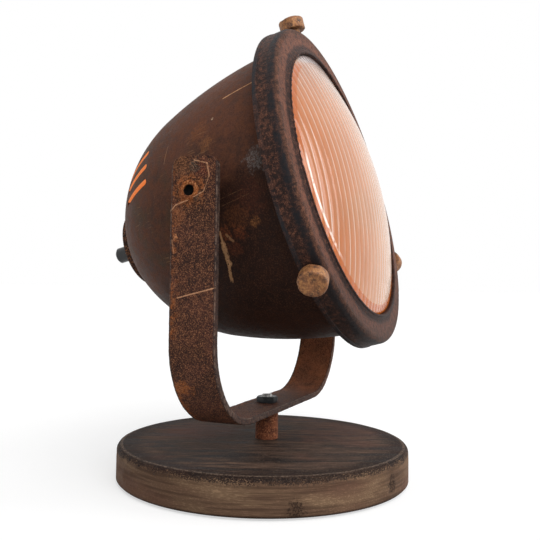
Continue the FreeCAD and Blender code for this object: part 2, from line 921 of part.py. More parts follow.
def bulb_glass():
    back = bulb_base_place + bulb_cap_length - bulb_cap_seam * 3
    ball = bulb_diameter / 2
    neck = bulb_neck_radius
    wall = bulb_glass_wall
    ball_place = back + bulb_glass_length - ball
    join = math.radians(bulb_ball_start_deg)
    join_out = (ball_place + ball * math.cos(join), -ball * math.sin(join))
    join_in = (ball_place + (ball - wall) * math.cos(join), -(ball - wall) * math.sin(join))
    neck_end = back + bulb_cap_seam * 4
    waist_place = (neck_end + join_out[0]) / 2 + bulb_waist_forward
    waist = (neck + join_out[1]) / 2 - bulb_waist_inward
    return lathe([
        (back, 0.0),
        (back, neck),
        (neck_end, neck),
        ((waist_place, waist), join_out),
        (quarter(ball_place, 0.0, ball, 65), (ball_place + ball, 0.0)),
        (ball_place + ball - wall, 0.0),
        (quarter(ball_place, 0.0, ball - wall, 65), join_in),
        ((waist_place, waist - wall), (neck_end, neck - wall)),
        (back + wall, neck - wall),
        (back + wall, 0.0),
    ])


def bulb_stem_place():
    """Where the glass stem stands on the floor of the bulb."""
    return bulb_base_place + bulb_cap_length - bulb_cap_seam * 3 + bulb_glass_wall


def bulb_stem():
    back = bulb_stem_place()
    return axial_cylinder(filament_stem_diameter / 2, back, back + filament_stem_height)


def bulb_filament():
    """Two support wires that spread from the stem, and the lit wire that spans them."""
    foot_place = bulb_stem_place() + filament_stem_height
    head_place = bulb_stem_place() + filament_post_height
    pieces = []
    for side in (-1, 1):
        foot = Vector(side * filament_stem_diameter / 4, -foot_place, 0)
        head = Vector(side * filament_post_spread, -head_place, 0)
        run = head - foot
        pieces.append(Part.makeCylinder(filament_post_diameter / 2, run.Length, foot, run))
    left = Vector(-filament_post_spread, -head_place, 0)
    wire_radius = filament_wire_diameter / 2
    pieces.append(Part.makeCylinder(wire_radius, 2 * filament_post_spread, left, Vector(1, 0, 0)))
    wires = fused(*pieces)
    return wires.cut(bulb_stem())


def earth_rod():
    """Shank of the earth screw through the flat back of the bowl."""
    base = Vector(0, -back_place - bowl_wall - earth_screw_length / 2, -earth_screw_from_axis)
    return Part.makeCylinder(earth_screw_diameter / 2, earth_screw_length, base, axis_y)


def earth_screw():
    seat = Vector(0, -back_place, -earth_screw_from_axis)
    head = Part.makeCylinder(earth_head_diameter / 2, earth_head_height, seat, axis_y)
    return fused(earth_rod(), head)


def build():
    os.makedirs(out_dir, exist_ok=True)
    save("wooden_base", wooden_base())
    save("base_pad", base_pad())
    save("clamp_rod", clamp_rod())
    save("foot_washer", foot_washer())
    save("foot_nut", foot_nut())
    save("post_tube", post_tube())
    save("slip_washer", slip_washer())
    save("top_nut", top_nut())
    save("swivel_bush", swivel_bush())
    save("yoke_bar", yoke_bar())
    save("tilt_washers", *both_sides(tilt_washer))
    save("pivot_screws", *both_sides(pivot_screw))
    save("pivot_spacers", *both_sides(pivot_spacer))
    save("pivot_doublers", *both_sides(pivot_doubler))
    save("pivot_nuts", *both_sides(pivot_nut))
    save("bowl_shell", on_head(bowl_shell()))
    save("rear_cap", on_head(rear_cap()))
    save("holder_stem", on_head(holder_stem()))
    save("stem_nut", on_head(stem_nut()))
    save("cord_gland", on_head(cord_gland()))
    save("earth_screw", on_head(earth_screw()))
    save("lampholder", on_head(lampholder()))
    save("thread_shell", on_head(thread_shell()))
    save("holder_contact", on_head(holder_contact()))
    save("front_ring", on_head(ring()))
    save("clamp_bosses", *[on_head(clamp_boss(angle)) for angle in screw_angles()])
    save("lens_gasket", on_head(lens_gasket()))
    save("glass_lens", on_head(glass_lens()))
    save("lens_clips", *[on_head(clip) for clip in lens_clips()])
    for name, angle in zip(("top", "near", "far"), screw_angles()):
        save("thumb_screw_" + name, on_head(thumb_screw(angle)))
    save("bulb_cap", on_head(bulb_cap()))
    save("bulb_glass", on_head(bulb_glass()))
    save("bulb_stem", on_head(bulb_stem()))
    save("bulb_filament", on_head(bulb_filament()))


build()
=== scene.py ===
"""A searchlight for the table: a rusty metal bowl with a fluted glass front, tilting in a flat-bar yoke."""

from __future__ import annotations

import json
import logging
import math
from dataclasses import dataclass
from enum import Enum
from typing import Callable, Iterable, Sequence

import bmesh
import bpy
from mathutils import Matrix, Vector, noise


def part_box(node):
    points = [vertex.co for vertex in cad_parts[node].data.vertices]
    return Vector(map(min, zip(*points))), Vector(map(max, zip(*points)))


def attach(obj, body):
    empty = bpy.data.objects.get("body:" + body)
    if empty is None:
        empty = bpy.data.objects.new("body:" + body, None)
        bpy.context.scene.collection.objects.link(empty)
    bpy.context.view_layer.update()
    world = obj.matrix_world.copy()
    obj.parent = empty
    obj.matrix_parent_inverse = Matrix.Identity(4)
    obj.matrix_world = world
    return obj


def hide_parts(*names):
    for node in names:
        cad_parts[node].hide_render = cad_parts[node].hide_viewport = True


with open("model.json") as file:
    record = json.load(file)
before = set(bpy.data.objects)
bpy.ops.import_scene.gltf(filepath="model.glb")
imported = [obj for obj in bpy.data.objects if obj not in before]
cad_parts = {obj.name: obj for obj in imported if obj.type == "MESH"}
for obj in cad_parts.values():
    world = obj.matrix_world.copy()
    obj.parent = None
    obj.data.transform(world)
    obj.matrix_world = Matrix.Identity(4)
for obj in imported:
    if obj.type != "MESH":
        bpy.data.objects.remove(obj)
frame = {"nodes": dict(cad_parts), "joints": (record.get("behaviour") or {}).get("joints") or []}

log = logging.getLogger("searchlight")
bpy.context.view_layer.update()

Colour = tuple[float, float, float, float]
Place = tuple[float, float, float]
Point = tuple[float, float]

ORIGIN: Place = (0.0, 0.0, 0.0)
WHITE: Colour = (1.0, 1.0, 1.0, 1.0)
BLACK: Colour = (0.0, 0.0, 0.0, 1.0)
ROUND_X: Place = (0.0, 1.0, 1.0)
ROUND_Y: Place = (1.0, 0.0, 1.0)
ROUND_Z: Place = (1.0, 1.0, 0.0)
POLE = 0.0002
TILT = math.radians(15.0)
PIVOT = Vector(next(joint for joint in frame["joints"] if joint["name"] == "head_tilt")["pos_m"])
HEAD_PLACE = Matrix.Translation(PIVOT) @ Matrix.Rotation(-TILT, 4, "X")


def paint(code: str) -> Colour:
    """Turns six hexadecimal digits, red first, into the linear colour that shaders take."""
    values = [int(code[start:start + 2], 16) / 255 for start in (0, 2, 4)]
    linear = [value / 12.92 if value <= 0.04045 else ((value + 0.055) / 1.055) ** 2.4 for value in values]
    return (linear[0], linear[1], linear[2], 1.0)


class Body(Enum):
    """The rigid bodies that the new pieces ride on."""

    STAND = "stand"
    YOKE = "yoke"
    HEAD = "head"
    SCREW_TOP = "screw_top"
    SCREW_NEAR = "screw_near"
    SCREW_FAR = "screw_far"


class Axis(Enum):
    """The directions that a bore can run along, with the cutter's turn about Y in degrees."""

    X = 90.0
    Z = 0.0


class Value:
    """What a socket gives, with the sums that are written on it."""

    def __init__(self, tree: Tree, socket: bpy.types.NodeSocket) -> None:
        """Keeps the socket, and the tree that its sums go into."""
        self.tree = tree
        self.socket = socket

    def __add__(self, other: Source) -> Value:
        """Adds another."""
        return self.tree.math("ADD", self, other)

    def __sub__(self, other: Source) -> Value:
        """Takes another away."""
        return self.tree.math("SUBTRACT", self, other)

    def __rsub__(self, other: Source) -> Value:
        """Takes this away from another."""
        return self.tree.math("SUBTRACT", other, self)

    def __mul__(self, other: Source) -> Value:
        """Multiplies by another."""
        return self.tree.math("MULTIPLY", self, other)

    def __truediv__(self, other: Source) -> Value:
        """Divides by another."""
        return self.tree.math("DIVIDE", self, other)

    def __abs__(self) -> Value:
        """Drops the sign."""
        return self.tree.math("ABSOLUTE", self)

    def vector(self, operation: str, other: Source = ORIGIN) -> Value:
        """Works out a sum of vectors, which is a number for a dot product or a length."""
        output = "Value" if operation in ("DOT_PRODUCT", "LENGTH") else "Vector"
        return self.tree.value("ShaderNodeVectorMath", output, {0: self, 1: other}, operation=operation)

    def reach(self, keep: Place) -> Value:
        """Gives the distance from nought, along the axes that are kept only."""
        return self.vector("MULTIPLY", keep).vector("LENGTH")

    def split(self) -> list[Value]:
        """Takes a vector apart into its three values."""
        parts = self.tree.add("ShaderNodeSeparateXYZ", {"Vector": self}).outputs
        return [Value(self.tree, part) for part in parts]

    def fade(self, low: float, high: float) -> Value:
        """Rises smoothly from nought at low to one at high, or falls where low is the larger."""
        inputs = {"Value": self, "From Min": low, "From Max": high}
        return self.tree.value("ShaderNodeMapRange", "Result", inputs, interpolation_type="SMOOTHSTEP")

    def noise(self, scale: Source, detail: float = 4.0, roughness: float = 0.55) -> Value:
        """Makes a cloudy value at the places that this vector gives.

        Args:
            scale: Clouds in a metre.
            detail: How many finer layers are added.
            roughness: How strong the finer layers are.

        Returns:
            The value, about a half.
        """
        inputs = {"Vector": self, "Scale": scale, "Detail": detail, "Roughness": roughness}
        return self.tree.value("ShaderNodeTexNoise", "Fac", inputs)

    def drift(self, span: float, scale: float, detail: float = 4.0, roughness: float = 0.55) -> Value:
        """Makes a cloudy value about nought, whose full span is given."""
        return (self.noise(scale, detail, roughness) - 0.5) * span


Source = Value | float | Place | Colour


class Tree:
    """A node tree that is written one call at a time."""

    def __init__(self, tree: bpy.types.NodeTree) -> None:
        """Keeps the tree and clears what it held."""
        self.tree = tree
        tree.nodes.clear()

    def add(self, kind: str, inputs: dict | None = None, **settings: object) -> bpy.types.Node:
        """Adds a node.

        Args:
            kind: The node's type name.
            inputs: Values for its inputs, by name or number.
            **settings: Properties of the node.

        Returns:
            The new node.
        """
        node = self.tree.nodes.new(kind)
        for name, value in settings.items():
            setattr(node, name, value)
        for key, value in (inputs or {}).items():
            self.feed(node.inputs[key], value)
        return node

    def value(self, kind: str, output: int | str, inputs: dict | None = None, **settings: object) -> Value:
        """Adds a node and gives one of its outputs."""
        return Value(self, self.add(kind, inputs, **settings).outputs[output])

    def feed(self, socket: bpy.types.NodeSocket, value: Source) -> None:
        """Links an input to a value, or sets it."""
        if isinstance(value, Value):
            self.tree.links.new(value.socket, socket)
        else:
            socket.default_value = value

    def math(self, operation: str, first: Source, second: Source = 0.0, clamp: bool = False) -> Value:
        """Works out one sum, kept between nought and one where clamp is set."""
        return self.value("ShaderNodeMath", 0, {0: first, 1: second}, operation=operation, use_clamp=clamp)

    def blend(self, factor: Source, first: Source, second: Source, mode: str = "MIX") -> Value:
        """Blends two colours.

        Args:
            factor: How much of the second colour shows.
            first: The first colour.
            second: The second colour.
            mode: The blend mode.

        Returns:
            The blended colour.
        """
        inputs = {0: factor, 6: first, 7: second}
        return self.value("ShaderNodeMix", 2, inputs, data_type="RGBA", blend_type=mode)


@dataclass
class Shared:
    """A shader group that several materials share, built the first time that it is asked for.

    Its inputs are given with their first values, and wire makes its outputs from them.
    """

    name: str
    given: dict[str, float | Place]
    wire: Callable[[Tree, dict[str, Value]], dict[str, Value]]
    made: bpy.types.NodeTree | None = None

    def tree(self) -> bpy.types.NodeTree:
        """Gives the group's tree."""
        if self.made is not None:
            return self.made
        self.made = bpy.data.node_groups.new(self.name, "ShaderNodeTree")
        sockets = self.made.interface
        for label, first in self.given.items():
            kind = "NodeSocketVector" if isinstance(first, tuple) else "NodeSocketFloat"
            sockets.new_socket(name=label, in_out="INPUT", socket_type=kind).default_value = first
        tree = Tree(self.made)
        source = tree.add("NodeGroupInput").outputs
        results = self.wire(tree, {label: Value(tree, source[label]) for label in self.given})
        for label in results:
            sockets.new_socket(name=label, in_out="OUTPUT", socket_type="NodeSocketFloat")
        tree.add("NodeGroupOutput", results)
        return self.made


def wire_scratch(tree: Tree, given: dict[str, Value]) -> dict[str, Value]:
    """Wires a scratch: a ragged line from one place to another."""
    place, start = given["Vector"], given["Start"]
    run = given["End"].vector("SUBTRACT", start)
    away = place.vector("SUBTRACT", start)
    share = tree.math("DIVIDE", away.vector("DOT_PRODUCT", run), run.vector("DOT_PRODUCT", run), True)
    foot = tree.value("ShaderNodeVectorMath", "Vector", {0: run, "Scale": share}, operation="SCALE")
    edge = given["Width"] * (place.noise(420.0, 3.0) * 1.5)
    inside = tree.math("SUBTRACT", 1.0, away.vector("SUBTRACT", foot).vector("LENGTH") / edge, True)
    return {"Mask": inside.fade(0.0, 0.5) * place.noise(600.0, 3.0, 0.6).fade(0.32, 0.46)}


def wire_grain(tree: Tree, given: dict[str, Value]) -> dict[str, Value]:
    """Wires wood: long fibres and short pores along local X."""
    streaks = given["Vector"].vector("MULTIPLY", (8.0, 70.0, 90.0)).noise(3.0, 5.0, 0.7)
    pores = given["Vector"].vector("MULTIPLY", (60.0, 900.0, 900.0)).noise(1.6, 2.0, 0.6)
    return {
        "Streaks": streaks.fade(0.40, 0.60),
        "Pores": pores.fade(0.62, 0.52),
        "Height": streaks + pores * 0.6,
    }


def wire_weather(tree: Tree, given: dict[str, Value]) -> dict[str, Value]:
    """Wires weathered metal: wide patches, blotches, fine grains and pits."""
    frequency = tree.math("DIVIDE", 1.0, given["Grain Size"])
    fine = given["Vector"].noise(frequency, 3.0, 0.7)
    blotch = given["Vector"].noise(frequency * 0.2, 4.0, 0.65)
    level = fine + (blotch - 0.5) * given["Clumping"] + given["Coverage"]
    return {
        "Grains": level.fade(0.52, 0.63),
        "Pits": level.fade(0.46, 0.36),
        "Blotches": blotch.fade(0.4, 0.62),
        "Patches": given["Vector"].noise(36.0, 4.0, 0.6).fade(0.36, 0.64),
        "Height": fine + blotch * 2.0,
    }


def wire_spot(tree: Tree, given: dict[str, Value]) -> dict[str, Value]:
    """Wires a spot with a ragged, speckled edge."""
    place = given["Vector"]
    away = place.vector("SUBTRACT", given["Middle"]).vector("LENGTH")
    ragged = (away / given["Radius"] + place.drift(2.8, 330.0, 6.0, 0.7)).fade(1.05, 0.55)
    specks = place.noise(950.0, 3.0, 0.6).fade(0.44, 0.58)
    return {"Mask": ragged * (specks * 0.75 + 0.25)}


SCRATCH = Shared(
    "scratch", {"Vector": ORIGIN, "Start": ORIGIN, "End": (0.0, 0.0, 1.0), "Width": 0.001}, wire_scratch)
GRAIN = Shared("wood_grain", {"Vector": ORIGIN}, wire_grain)
WEATHER = Shared(
    "weathered_metal", {"Vector": ORIGIN, "Grain Size": 0.0012, "Coverage": 0.0, "Clumping": 0.4}, wire_weather)
SPOT = Shared("spot", {"Vector": ORIGIN, "Middle": ORIGIN, "Radius": 0.005}, wire_spot)


class Finish(Tree):
    """A material under construction, with its shader, its colour so far and its object coordinates."""

    def __init__(self, name: str, colour: Source = WHITE) -> None:
        """Starts a material of one colour."""
        self.material = bpy.data.materials.new(name)
        self.material.use_nodes = True
        super().__init__(self.material.node_tree)
        self.shader = self.add("ShaderNodeBsdfPrincipled")
        surface = self.add("ShaderNodeOutputMaterial").inputs["Surface"]
        self.tree.links.new(self.shader.outputs["BSDF"], surface)
        self.place = self.value("ShaderNodeTexCoord", "Object")
        self.colour = colour

    def lay(self, mask: Source, colour: Source) -> None:
        """Lays a colour over the one so far, as much as the mask says."""
        self.colour = self.blend(mask, self.colour, colour)

    def local(self, origin: Place, turn: Place) -> Value:
        """Gives coordinates about another origin, whose axes are turned by these radians."""
        inputs = {"Vector": self.place, "Location": origin, "Rotation": turn}
        return self.value("ShaderNodeMapping", "Vector", inputs, vector_type="TEXTURE")

    def head_local(self) -> Value:
        """Gives coordinates of the level lamp head: forwards is -Y."""
        return self.local(tuple(PIVOT), (-TILT, 0.0, 0.0))

    def group(self, shared: Shared, inputs: dict[str, Source]) -> dict[str, Value]:
        """Places a shared group and gives its outputs by their names."""
        node = self.add("ShaderNodeGroup", inputs, node_tree=shared.tree())
        return {output.name: Value(self, output) for output in node.outputs}

    def set(self, **values: Source) -> None:
        """Sets inputs of the shader, whose names have underscores for spaces here."""
        for key, value in values.items():
            self.feed(self.shader.inputs[key.replace("_", " ")], value)

    def bump(self, height: Value, depth: float, strength: float) -> None:
        """Raises the surface.

        Args:
            height: How high it is, where one stands for the depth.
            depth: The depth in metres.
            strength: Share of the effect that shows.
        """
        inputs = {"Height": height, "Distance": depth, "Strength": strength}
        self.set(Normal=self.value("ShaderNodeBump", "Normal", inputs))


def from_tilt_axis(place: Value) -> Value:
    """Gives the distance from the axis that the head tilts about."""
    return place.vector("SUBTRACT", (0.0, PIVOT.y, PIVOT.z)).reach(ROUND_X)


@dataclass(frozen=True)
class Spot:
    """One ragged spot of colour: where it is, how large and how strong."""

    middle: Place
    radius: float
    colour: Colour
    strength: float


@dataclass(frozen=True)
class Mark:
    """One scratch or scrape, from place to place."""

    start: Place
    end: Place
    width: float
    strength: float


@dataclass(frozen=True)
class RustFinish:
    """Rusty steel: a dark skin, warm blotches, grains and pits, spots and scratches."""

    name: str
    dark: Colour = paint("38241C")
    middle: Colour = paint("55352A")
    warm: Colour = paint("7A4630")
    grains: Colour = paint("B0764E")
    pits: Colour = paint("1A110E")
    scratch: Colour = paint("D09A74")
    grain_size: float = 0.0010
    coverage: float = 0.0
    clumping: float = 0.22
    blotch_strength: float = 0.45
    grain_strength: float = 0.62
    pit_strength: float = 0.75
    roughness: float = 0.74
    depth: float = 0.0004
    spots: tuple[Spot, ...] = ()
    marks: tuple[Mark, ...] = ()

    def start(self) -> tuple[Finish, dict[str, Value]]:
        """Starts the finish with its skin and blotches, and gives it with the weather group's outputs."""
        finish = Finish(self.name, self.dark)
        rust = finish.group(WEATHER, {
            "Vector": finish.place,
            "Grain Size": self.grain_size,
            "Coverage": self.coverage,
            "Clumping": self.clumping,
        })
        finish.lay(rust["Patches"], self.middle)
        finish.lay(rust["Blotches"] * self.blotch_strength, self.warm)
        return finish, rust

    def wear(self, finish: Finish, rust: dict[str, Value], place: Value) -> None:
        """Lays spots, grains, pits and scratches over a finish.

        Args:
            finish: The finish under construction.
            rust: The weather group's outputs.
            place: Coordinates of the spots and scratches.
        """
        for spot in self.spots:
            mask = finish.group(SPOT, {"Vector": place, "Middle": spot.middle, "Radius": spot.radius})["Mask"]
            finish.lay(mask * spot.strength, spot.colour)
        finish.lay(rust["Grains"] * self.grain_strength, self.grains)
        finish.lay(rust["Pits"] * self.pit_strength, self.pits)
        for mark in self.marks:
            ends = {"Start": mark.start, "End": mark.end}
            mask = finish.group(SCRATCH, {"Vector": place, "Width": mark.width, **ends})["Mask"]
            finish.lay(mask * mark.strength, self.scratch)

    def close(self, finish: Finish, rust: dict[str, Value]) -> bpy.types.Material:
        """Sets colour, gloss and relief, and gives the material."""
        gloss = rust["Grains"] * 0.15 + (self.roughness - 0.1)
        finish.set(Base_Color=finish.colour, Roughness=gloss, Specular_IOR_Level=0.12)
        finish.bump(rust["Height"], self.depth, 0.7)
        return finish.material

    def make(self) -> bpy.types.Material:
        """Makes the material."""
        finish, rust = self.start()
        self.wear(finish, rust, finish.place)
        return self.close(finish, rust)


@dataclass(frozen=True)
class YokeFinish(RustFinish):
    """The yoke's rust, with rubbed long edges that also carry a painted highlight, the far arm painted lighter
    and more orange as painted light on its inner face, pale seams and one long scratch.
    """

    name: str = "rusty_yoke"
    dark: Colour = paint("37231D")
    middle: Colour = paint("4C2F28")
    warm: Colour = paint("663A2B")
    grains: Colour = paint("A26E4E")
    grain_size: float = 0.00066
    clumping: float = 0.15
    blotch_strength: float = 0.3
    grain_strength: float = 0.8
    pit_strength: float = 0.95
    edge_rust: Colour = paint("A45C2E")
    crust_dark: Colour = paint("160D0A")
    crust_warm: Colour = paint("9A5830")
    drift_dark: Colour = paint("241611")
    # rubbed wear that also serves as a painted highlight along the long edges
    rubbed_edge_highlight: Colour = paint("8C7466")
    edge_dark: Colour = paint("2E2A2A")
    # painted light: the far arm's lit inner face, lighter and more orange
    inner: Colour = paint("A2603E")
    half_width: float = 0.015
    outer_reach: float = 0.1118
    outer_face: float = -0.1065
    spots: tuple[Spot, ...] = tuple(
        Spot((x, y, z), radius, paint(code), strength) for x, y, z, radius, code, strength in (
            (-0.1065, 0.0030, 0.1865, 0.0095, "A45C2C", 0.45),
            (-0.1065, 0.0080, 0.2010, 0.0075, "8E5E3C", 0.5),
            (-0.1065, -0.0040, 0.1720, 0.0120, "2E1C16", 0.8),
            (-0.1065, -0.0110, 0.1950, 0.0060, "4A2A1E", 0.6),
            (-0.1065, -0.0050, 0.1985, 0.0060, "6A2E22", 0.7),
            (-0.1065, 0.0000, 0.2005, 0.0040, "4A4C44", 0.8),
            (-0.1065, -0.0020, 0.1835, 0.0035, "4C4B42", 0.7),
            (-0.1065, 0.0119, 0.1595, 0.0022, "D08A5C", 0.9),
            (-0.1065, 0.0100, 0.1720, 0.0060, "8E5636", 0.7),
            (-0.0980, 0.0090, 0.0720, 0.0070, "B06634", 0.85),
            (-0.1065, -0.0040, 0.1500, 0.0160, "3A2620", 0.5),
            (-0.1065, 0.0030, 0.1000, 0.0150, "46291F", 0.5),
            (0.1165, 0.0010, 0.0560, 0.0060, "4A2A1E", 0.7),
        )
    )
    marks: tuple[Mark, ...] = tuple(
        Mark((-0.1065, *start), (-0.1065, *end), width, strength) for start, end, width, strength in (
            ((0.0150, 0.1745), (0.0117, 0.1781), 0.0006, 0.8),
            ((0.0117, 0.1781), (0.0036, 0.1807), 0.0006, 0.75),
            ((0.0036, 0.1807), (-0.0066, 0.1855), 0.0006, 0.7),
            ((-0.0066, 0.1855), (-0.0099, 0.1946), 0.0005, 0.6),
            ((-0.0099, 0.1946), (-0.0084, 0.2018), 0.0006, 0.7),
            ((-0.0084, 0.2018), (0.0002, 0.2040), 0.0006, 0.8),
            ((0.0097, 0.1243), (-0.0147, 0.1304), 0.0006, 0.85),
            ((0.0138, 0.1578), (0.0125, 0.1500), 0.0005, 0.6),
        )
    )

    def make(self) -> bpy.types.Material:
        """Makes the material, with its spots and scratches on the flattened outer face."""
        finish, rust = self.start()
        place = finish.place
        x, y, z = place.split()
        # Painted light: the far arm is painted lighter and more orange where light falls on its inner face.
        finish.lay(x.fade(0.03, 0.10) * (rust["Patches"] * 0.5 + 0.4), self.inner)
        drift = place.noise(34.0, 4.0, 0.6).fade(0.48, 0.66)
        finish.lay(drift * 0.6, self.drift_dark)
        flecks = place.noise(260.0, 5.0, 0.7).fade(0.46, 0.60)
        finish.lay((y + drift * -0.006).fade(0.0065, 0.0145) * (flecks * 0.75), self.edge_rust)
        lumps = place.noise(300.0, 4.0, 0.6).fade(0.46, 0.58)
        crust = finish.blend(lumps, self.crust_dark, self.crust_warm)
        away = from_tilt_axis(place) + place.noise(120.0, 2.0) * 0.008
        finish.lay(away.fade(0.0165, 0.0125) * 0.75, crust)
        outer = finish.math("GREATER_THAN", abs(x - PIVOT.x), self.outer_reach)
        flat = {"X": x + (self.outer_face - x) * outer, "Y": y, "Z": z}
        self.wear(finish, rust, finish.value("ShaderNodeCombineXYZ", "Vector", flat))
        reach, edge = abs(y), self.half_width
        finish.lay(reach.fade(edge - 0.0016, edge - 0.0008) * 0.65, self.edge_dark)
        # A light line along both long edges: rubbed wear and a painted edge highlight.
        line = reach.fade(edge - 0.0008, edge - 0.0004) * reach.fade(edge + 0.0002, edge - 0.0004)
        finish.lay(line * place.noise(420.0, 4.0, 0.7).fade(0.44, 0.58) * 0.75, self.rubbed_edge_highlight)
        return self.close(finish, rust)


@dataclass(frozen=True)
class PivotFinish(RustFinish):
    """Orange rust round a socket whose hole is painted near black as painted shade."""

    name: str = "rusty_pivot"
    dark: Colour = paint("6A3A24")
    middle: Colour = paint("8C4E2A")
    warm: Colour = paint("AE6430")
    grains: Colour = paint("CE9464")
    pits: Colour = paint("2A1710")
    # painted shade inside the socket hole
    socket: Colour = paint("060403")
    socket_radius: float = 0.0030

    def make(self) -> bpy.types.Material:
        """Makes the material."""
        finish, rust = self.start()
        self.wear(finish, rust, finish.place)
        # Painted shade: the socket hole is painted near black.
        socket_shade = from_tilt_axis(finish.place).fade(self.socket_radius + 0.0005, self.socket_radius + 0.0001)
        finish.lay(socket_shade, self.socket)
        return self.close(finish, rust)


def skin(along: float, turn_deg: float) -> Place:
    """Finds a place on the bowl's skin, in the head's level coordinates.

    Args:
        along: Metres in front of the tilt axis.
        turn_deg: Angle round the lamp's axis, counted from +X upwards.

    Returns:
        The place.
    """
    radius = 0.09492 + 0.2065 * along - 1.53 * along * along
    turn = math.radians(turn_deg)
    return (radius * math.cos(turn), -along, radius * math.sin(turn))


@dataclass(frozen=True)
class PatinaFinish(RustFinish):
    """The bowl's dark brown patina outside, with painted shade underneath that is partly the patina's darker
    underside, and its copper inside, which is painted glowing with the lamp's light.
    """

    name: str = "patina_bowl"
    dark: Colour = paint("472F26")
    middle: Colour = paint("5A382B")
    warm: Colour = paint("673F2C")
    grains: Colour = paint("80563F")
    pits: Colour = paint("2C1C17")
    scratch: Colour = paint("CF9C70")
    grain_size: float = 0.0009
    grain_strength: float = 0.2
    pit_strength: float = 0.45
    roughness: float = 0.58
    depth: float = 0.00018
    # partly greenish patina, partly a painted sheen towards the back
    green_patina_sheen: Colour = paint("43392B")
    # painted shade underneath, partly the patina's own darker underside
    shade: Colour = paint("1E1412")
    # painted light: the glow of the lamp's light on the inside faces
    lit: Colour = paint("F08A4A")
    bounce: Colour = paint("B88A68")
    glow_strength: float = 0.52
    back_from: float = 0.060
    shade_slope: float = 1.15
    shade_place: float = 0.012
    shade_reach: float = 0.042
    shade_level: float = 0.008
    spots: tuple[Spot, ...] = tuple(
        Spot(skin(along, turn_deg), radius, paint(code), strength)
        for along, turn_deg, radius, code, strength in (
            (0.0062, -164.0, 0.0060, "8E4E30", 0.6),
            (0.0160, -163.0, 0.0055, "84452C", 0.5),
            (0.0090, -158.0, 0.0060, "6E3A26", 0.5),
            (0.0180, -168.0, 0.0100, "8A5230", 0.3),
            (0.0283, -164.9, 0.0036, "A0683E", 0.6),
            (0.0300, -174.0, 0.0120, "5C3022", 0.4),
            (0.0000, 154.3, 0.0085, "8A5230", 0.45),
            (0.0056, 160.8, 0.0060, "A0683E", 0.4),
            (0.0117, 151.6, 0.0012, "E0C0A0", 0.9),
            (0.0395, 175.0, 0.0085, "8C8784", 0.5),
            (0.0276, 177.4, 0.0040, "231816", 0.8),
            (-0.020, 35.0, 0.0120, "8A5230", 0.5),
            (0.0150, 70.0, 0.0140, "8A5230", 0.4),
            (0.0200, -25.0, 0.0110, "A0683E", 0.5),
            (-0.010, -60.0, 0.0150, "8A5230", 0.4),
        )
    )
    marks: tuple[Mark, ...] = tuple(
        Mark(skin(*start), skin(*end), width, strength) for start, end, width, strength in (
            ((0.0193, 143.4), (0.0416, 142.5), 0.0008, 0.95),
            ((0.0032, -165.0), (0.0024, -159.5), 0.0012, 0.75),
            ((0.0026, -160.5), (0.0012, -153.0), 0.0030, 0.75),
            ((0.0014, -154.0), (-0.0028, -145.6), 0.0018, 0.7),
            ((0.0070, -163.4), (0.0100, -160.6), 0.0014, 0.35),
            ((-0.030, 160.0), (-0.026, 150.0), 0.0004, 0.4),
            ((0.0080, -176.0), (0.0260, -176.8), 0.0003, 0.18),
            ((0.0100, -173.6), (0.0300, -174.6), 0.0003, 0.15),
            ((-0.060, -165.0), (-0.0500, -150.0), 0.0006, 0.30),
            ((-0.045, 178.0), (-0.0380, 168.0), 0.0005, 0.25),
            ((0.0050, 40.0), (0.0300, 52.0), 0.0006, 0.7),
            ((-0.010, -20.0), (0.0200, -32.0), 0.0005, 0.6),
        )
    )

    def make(self) -> bpy.types.Material:
        """Makes the material."""
        finish, rust = self.start()
        local = finish.head_local()
        x, y, z = local.split()
        # A greenish veil towards the back of the bowl: partly patina, partly a painted sheen.
        patina_sheen_veil = local.noise(60.0, 4.0, 0.6).fade(0.46, 0.66)
        finish.lay(patina_sheen_veil * (y.fade(-0.015, 0.05) * 0.55), self.green_patina_sheen)
        fibres = local.vector("MULTIPLY", (0.25, 0.08, 1.0)).noise(900.0, 2.0, 0.5)
        finish.lay(fibres.fade(0.6, 0.7) * local.noise(30.0, 2.0).fade(0.5, 0.62) * 0.16, self.scratch)
        # Painted shade: darker underneath and reaching higher towards the front, partly the patina's darker
        # underside.
        behind = finish.math("MAXIMUM", y + self.shade_place, 0.0)
        slant = finish.math("MINIMUM", behind, self.shade_reach) * self.shade_slope
        level = z + slant + local.drift(0.035, 26.0, 4.0, 0.6)
        finish.lay(level.fade(self.shade_level + 0.010, self.shade_level - 0.014) * 0.78, self.shade)
        self.wear(finish, rust, local)
        # The inside faces get their own copper colour and a painted glow that stands for the bulb's light on
        # them.
        inside = self.inside(finish, x, y, z)
        finish.lay(inside, self.bounce)
        finish.set(
            Base_Color=finish.colour,
            Roughness=rust["Blotches"] * 0.12 + (self.roughness - 0.06),
            Specular_IOR_Level=0.07,
            Emission_Color=finish.blend(inside, BLACK, self.lit),
            Emission_Strength=self.glow_strength,
        )
        finish.bump(rust["Height"], self.depth, 0.6)
        return finish.material

    def inside(self, finish: Finish, x: Value, y: Value, z: Value) -> Value:
        """Masks the faces that look inwards.

        Args:
            finish: The finish under construction.
            x: Place across the level head.
            y: Place behind its tilt axis.
            z: Place above its axis.

        Returns:
            The mask.
        """
        normal = finish.value("ShaderNodeTexCoord", "Normal")
        turn = {"Vector": normal, "Rotation": (TILT, 0.0, 0.0)}
        turned = finish.value("ShaderNodeMapping", "Vector", turn, vector_type="VECTOR")
        behind = finish.math("MAXIMUM", y - self.back_from, 0.0)
        outward = finish.value("ShaderNodeCombineXYZ", "Vector", {"X": x, "Y": behind, "Z": z})
        at_slots = y.fade(0.020, 0.030) * 0.014
        return (turned.vector("DOT_PRODUCT", outward) - at_slots).fade(-0.002, -0.006)


